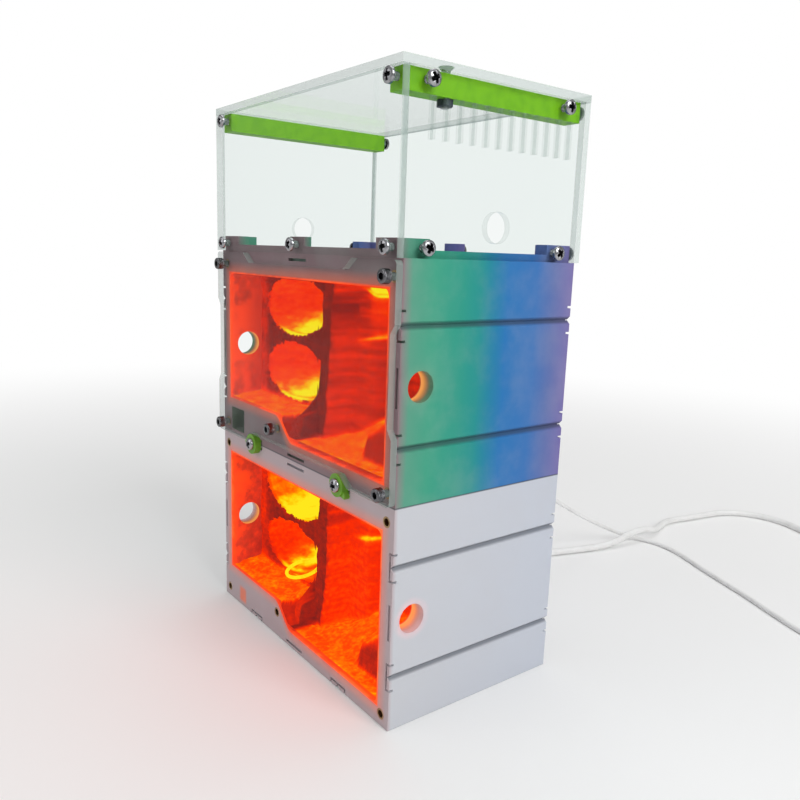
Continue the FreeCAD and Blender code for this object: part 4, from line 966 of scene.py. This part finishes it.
def cap_screw(place, radius=2.75, height=3.0, socket=1.25):
    """A socket cap screw on the front plate: a turned profile whose side is knurled by
    r = R (1 - 0.022 (1 + cos 36 angle)), with a hexagon socket sunk into its chamfered top."""
    profile = [(1.0, 0.0), (1.0, 0.06), (1.0, 0.80), (0.97, 0.90), (0.90, 0.97), (0.82, 1.0), (0.60, 1.0)]
    sunk = np.array([(1.06, 1.0), (1.0, 0.97), (1.0, 0.45), (0.0, 0.38)])
    angle = turn_angles(216)
    share, level = np.array(profile).T
    knurl = 1.0 - 0.022 * (1 + np.cos(36 * angle)) * ((level > 0.04) & (level < 0.85))[:, None]
    corner = (angle + math.pi / 6) % (math.pi / 3) - math.pi / 6
    hexagon = socket / np.cos(corner)
    r = np.concatenate([radius * share[:, None] * knurl, hexagon * sunk[:, :1]])
    level = height * np.concatenate([level, sunk[:, 1]])[:, None] + 0.0 * angle
    points = np.stack([place[0] + r * np.cos(angle), place[1] - level, place[2] - r * np.sin(angle)], axis=-1)
    # painted shade: the hexagon socket is marked to turn near black
    recess = np.zeros(level.shape)
    recess[-3:] = 1.0
    return grid_object("cap_head", points, {"recess": recess}, close_columns=True)


def front_plate_screws():
    """The five cap screws that hold the clear front plate of the middle module."""
    seats = [(x, z) for x in (-PLATE_SCREW_END, PLATE_SCREW_END) for z in PLATE_SCREW_LEVELS]
    places = [(x, FRONT - SHEET, STOREY + z) for x, z in seats + [SILL_SCREW]]
    parts = []
    for place in places:
        parts.append(cap_screw(place))
        parts.append(shank_mesh("cap_shank", place, (0, -1, 0), *SHANK))
    piece = joined("front_cap_screws", parts)
    piece.data.materials.append(MATERIALS["cap_steel"])
    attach(piece, "tower")
    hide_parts("front_cover_screws")


# ---------------------------------------------------------------- clear sheets

def clear_sheet(node, material, body="tower", gap=0.03):
    """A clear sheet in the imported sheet's shape, a hair smaller, so that its faces lie free of
    the print that it is screwed to."""
    source = NODES[node]
    mesh = source.data.copy()
    mesh.transform(source.matrix_world)
    merged(mesh, 1e-6)
    low, high = (np.array(corner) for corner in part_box(node))
    middle = (low + high) / 2
    shrink = 1.0 - gap * MM / ((high - low) / 2)
    places = np.empty(len(mesh.vertices) * 3, np.float32)
    mesh.vertices.foreach_get("co", places)
    places = middle + (places.reshape(-1, 3) - middle) * shrink
    mesh.vertices.foreach_set("co", places.astype(np.float32).ravel())
    mesh.polygons.foreach_set("use_smooth", np.zeros(len(mesh.polygons), bool))
    mesh.materials.clear()
    mesh.materials.append(MATERIALS[material])
    piece = bpy.data.objects.new(node + "_sheet", mesh)
    bpy.context.scene.collection.objects.link(piece)
    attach(piece, body)
    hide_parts(node)


def clear_sheets():
    """The front plate, the four panes of the foraging box and its swinging lid."""
    clear_sheet("front_cover_plate", "sheet_y")
    clear_sheet("front_pane", "sheet_y")
    clear_sheet("back_pane", "sheet_y")
    clear_sheet("left_pane", "sheet_x")
    clear_sheet("right_pane", "sheet_x")
    clear_sheet("lid", "sheet_z", "lid")


# ---------------------------------------------------------------- leads

THIN_ROUTE = [(0, 51, 106), (0, 60, 105.2), (-0.3, 70, 101), (-0.8, 80, 92.5), (-1.5, 92, 80.5),
              (-2.2, 105, 67.5), (-2.7, 121, 53), (-3.1, 138, 40), (-3.6, 152.4, 32.2), (-4.1, 166, 24.6),
              (-4.5, 180, 17.6), (-5, 195, 10.4), (-4.6, 206.5, 5.2), (-1.8, 214.8, 1.9), (5.5, 219, 1.25),
              (15.5, 221.8, 1.25), (28, 220.4, 1.25), (40, 216.2, 1.25), (54, 209.7, 1.25),
              (71, 203, 1.25), (90, 196, 1.25), (110, 187, 1.25), (129, 179, 1.25), (147, 175, 1.25)]
THIN_TAIL = [(181.2, 203, 1.25), (181.8, 216, 2.4), (182.4, 228, 3.55), (183.4, 240, 3.55)]
THICK_ROUTE = [(0, 51, 14), (-0.8, 60, 13), (-3.4, 71, 9.8), (-8, 84, 4.15), (-13, 101, 2.15),
               (-15.6, 119, 2.15), (-14.6, 135, 2.15), (-10.3, 151, 2.15), (-5.2, 166, 2.15),
               (-0.6, 182, 2.15), (1.8, 196, 3.75), (3.2, 209, 7.6), (3.8, 223, 7.6), (2.6, 236, 3.75),
               (-1.6, 248, 2.15), (-5.6, 260, 2.15), (-4.6, 273, 2.15), (-0.9, 286, 2.15),
               (1.2, 301, 2.15), (5.6, 318, 2.15), (17, 332, 2.15), (35, 338.4, 2.15), (54, 334, 2.15),
               (73, 324.4, 2.15), (92, 313, 2.15)]
THICK_TAIL = [(154.9, 331, 2.15), (159.6, 346, 2.8), (164.6, 361, 3.55), (170.8, 375, 3.55)]


def coil_turns(centre, radius, thick, turns, start):
    """Points of a coil: layers of three turns side by side, stepping up one thickness at a time."""
    per_turn = 14
    count = int(turns * per_turn)
    points = []
    for k in range(count + 1):
        angle = math.radians(start) + turns * 2 * math.pi * k / count
        lap = turns * k / count
        layer = min(int(lap / 3.0), 2)
        lane = lap - 3 * layer
        shift = (1.0 - min(lane, 2.0)) if layer % 2 == 0 else (min(lane, 2.0) - 1.0)
        climb = layer - 1 + min(1.0, lane * 2.0) if layer else 0.0
        points.append((centre[0] + (radius + shift * thick) * math.cos(angle),
                       centre[1] + (radius + shift * thick) * math.sin(angle),
                       thick / 2 + 0.05 + thick * climb))
    return points


def lead(name, points, diameter, nodes):
    """A lead as one smooth curve: a NURBS line through the route, the coil and the tail."""
    data = bpy.data.curves.new(name, "CURVE")
    data.dimensions = "3D"
    data.bevel_depth = diameter / 2 * MM
    data.bevel_resolution = 6
    data.resolution_u = 6
    data.use_fill_caps = True
    spline = data.splines.new("NURBS")
    spline.points.add(len(points) - 1)
    for point, place in zip(spline.points, points):
        point.co = (place[0] * MM, place[1] * MM, place[2] * MM, 1.0)
    spline.order_u = 3
    spline.use_endpoint_u = True
    piece = bpy.data.objects.new(name, data)
    bpy.context.scene.collection.objects.link(piece)
    data.materials.append(MATERIALS["jacket"])
    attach(piece, "tower")
    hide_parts(*nodes)


def leads():
    """Both leads, from the glands to their plugs."""
    thin = THIN_ROUTE + coil_turns((165, 190), 13.5, THIN, 7.25, -90) + THIN_TAIL
    thick = THICK_ROUTE + coil_turns((124, 325.3), 23.0, THICK, 7.28, -121) + THICK_TAIL
    for name, points, diameter, length in (("thin", thin, THIN, 1.0), ("thick", thick, THICK, 1.5)):
        lead(name + "_lead", points, diameter,
             [name + "_lead_run", name + "_lead_coil", name + "_lead_tail"])


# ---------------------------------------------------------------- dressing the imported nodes

def dress(node, material):
    """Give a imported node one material."""
    piece = NODES[node]
    piece.data.materials.clear()
    piece.data.materials.append(MATERIALS[material])


def dress_all():
    """Materials of every node that stays as it was packed."""
    for prefix, shell in (("lower", "white_shell"), ("middle", "fade_shell")):
        dress(prefix + "_nest_body", shell)
        dress(prefix + "_back_cover", shell)
        dress(prefix + "_lamp_board", "circuit")
        dress(prefix + "_lamps", "lamp")
        dress(prefix + "_back_screws", "steel")
        dress(prefix + "_cable_gland", "jacket")
        dress(prefix + "_thread_inserts", "brass")
    for place in ("front_left", "front_right", "back_left", "back_right"):
        dress("clip_" + place, "clip")
    for node in ("left_bar", "right_bar"):
        dress(node, "lime")
    dress("lid_pivot_screw", "steel")
    dress("lid_pivot_nut", "dark")
    for name in ("thin", "thick"):
        dress(name + "_lead_plug_grip", "jacket")
        dress(name + "_lead_plug_tongue", "steel")
        dress(name + "_lead_tie", "tie")


# Colour ramps of the prints from front to back. Each first stop, which colours the front face, is the print's
# pale start darkened and tinted greyish pink: painted shade and painted reflected red light.
WHITE = [(0.0, srgb(190, 174, 178)), (0.02, srgb(200, 202, 208)), (1.0, srgb(194, 199, 210))]
FADE = [(0.0, srgb(138, 115, 120)), (0.012, srgb(128, 134, 130)), (0.05, srgb(88, 156, 132)),
        (0.16, srgb(62, 158, 130)), (0.32, srgb(42, 150, 132)), (0.42, srgb(30, 142, 140)),
        (0.50, srgb(28, 126, 160)), (0.58, srgb(36, 114, 178)), (0.76, srgb(56, 112, 178)),
        (0.88, srgb(92, 110, 168)), (1.0, srgb(118, 108, 166))]

camera()
MATERIALS = {
    "white_shell": shell_print("white_shell", WHITE, base_level=0.0, pocket=False),
    "fade_shell": shell_print("fade_shell", FADE, base_level=STOREY, pocket=True),
    "stone": stone("cave_glow"),
    "circuit": circuit("lamp_board"),
    "clip": plain_print("clip_lime", srgb(112, 168, 42), srgb(90, 146, 32)),
    "lime": plain_print("lime_print", srgb(128, 196, 20), srgb(100, 170, 16)),
    "sheet_x": acrylic("sheet_x", 0),
    "sheet_y": acrylic("sheet_y", 1),
    "sheet_z": acrylic("sheet_z", 2),
    "steel": steel("screw_steel", (0.40, 0.40, 0.42), 0.24),
    "cap_steel": steel("cap_steel", (0.17, 0.17, 0.18), 0.16),
    "dark": steel("dark_steel", (0.08, 0.09, 0.12), 0.45),
    "brass": steel("insert_brass", (0.42, 0.28, 0.14), 0.4),
    "jacket": jacket("lead_jacket", (0.84, 0.84, 0.83), (0.62, 0.61, 0.59)),
    "tie": jacket("tie_black", (0.012, 0.012, 0.013), (0.03, 0.03, 0.032)),
    "lamp": lamp_dome("lamp_dome"),
}
studio()
leads()
dress_all()
cave("lower", base_level=0.0, seed=11, hotter=1.0, dish_rim_glow=True)
cave("middle", base_level=STOREY, seed=4, hotter=0.0, dish_rim_glow=False)
screws()
clear_sheets()
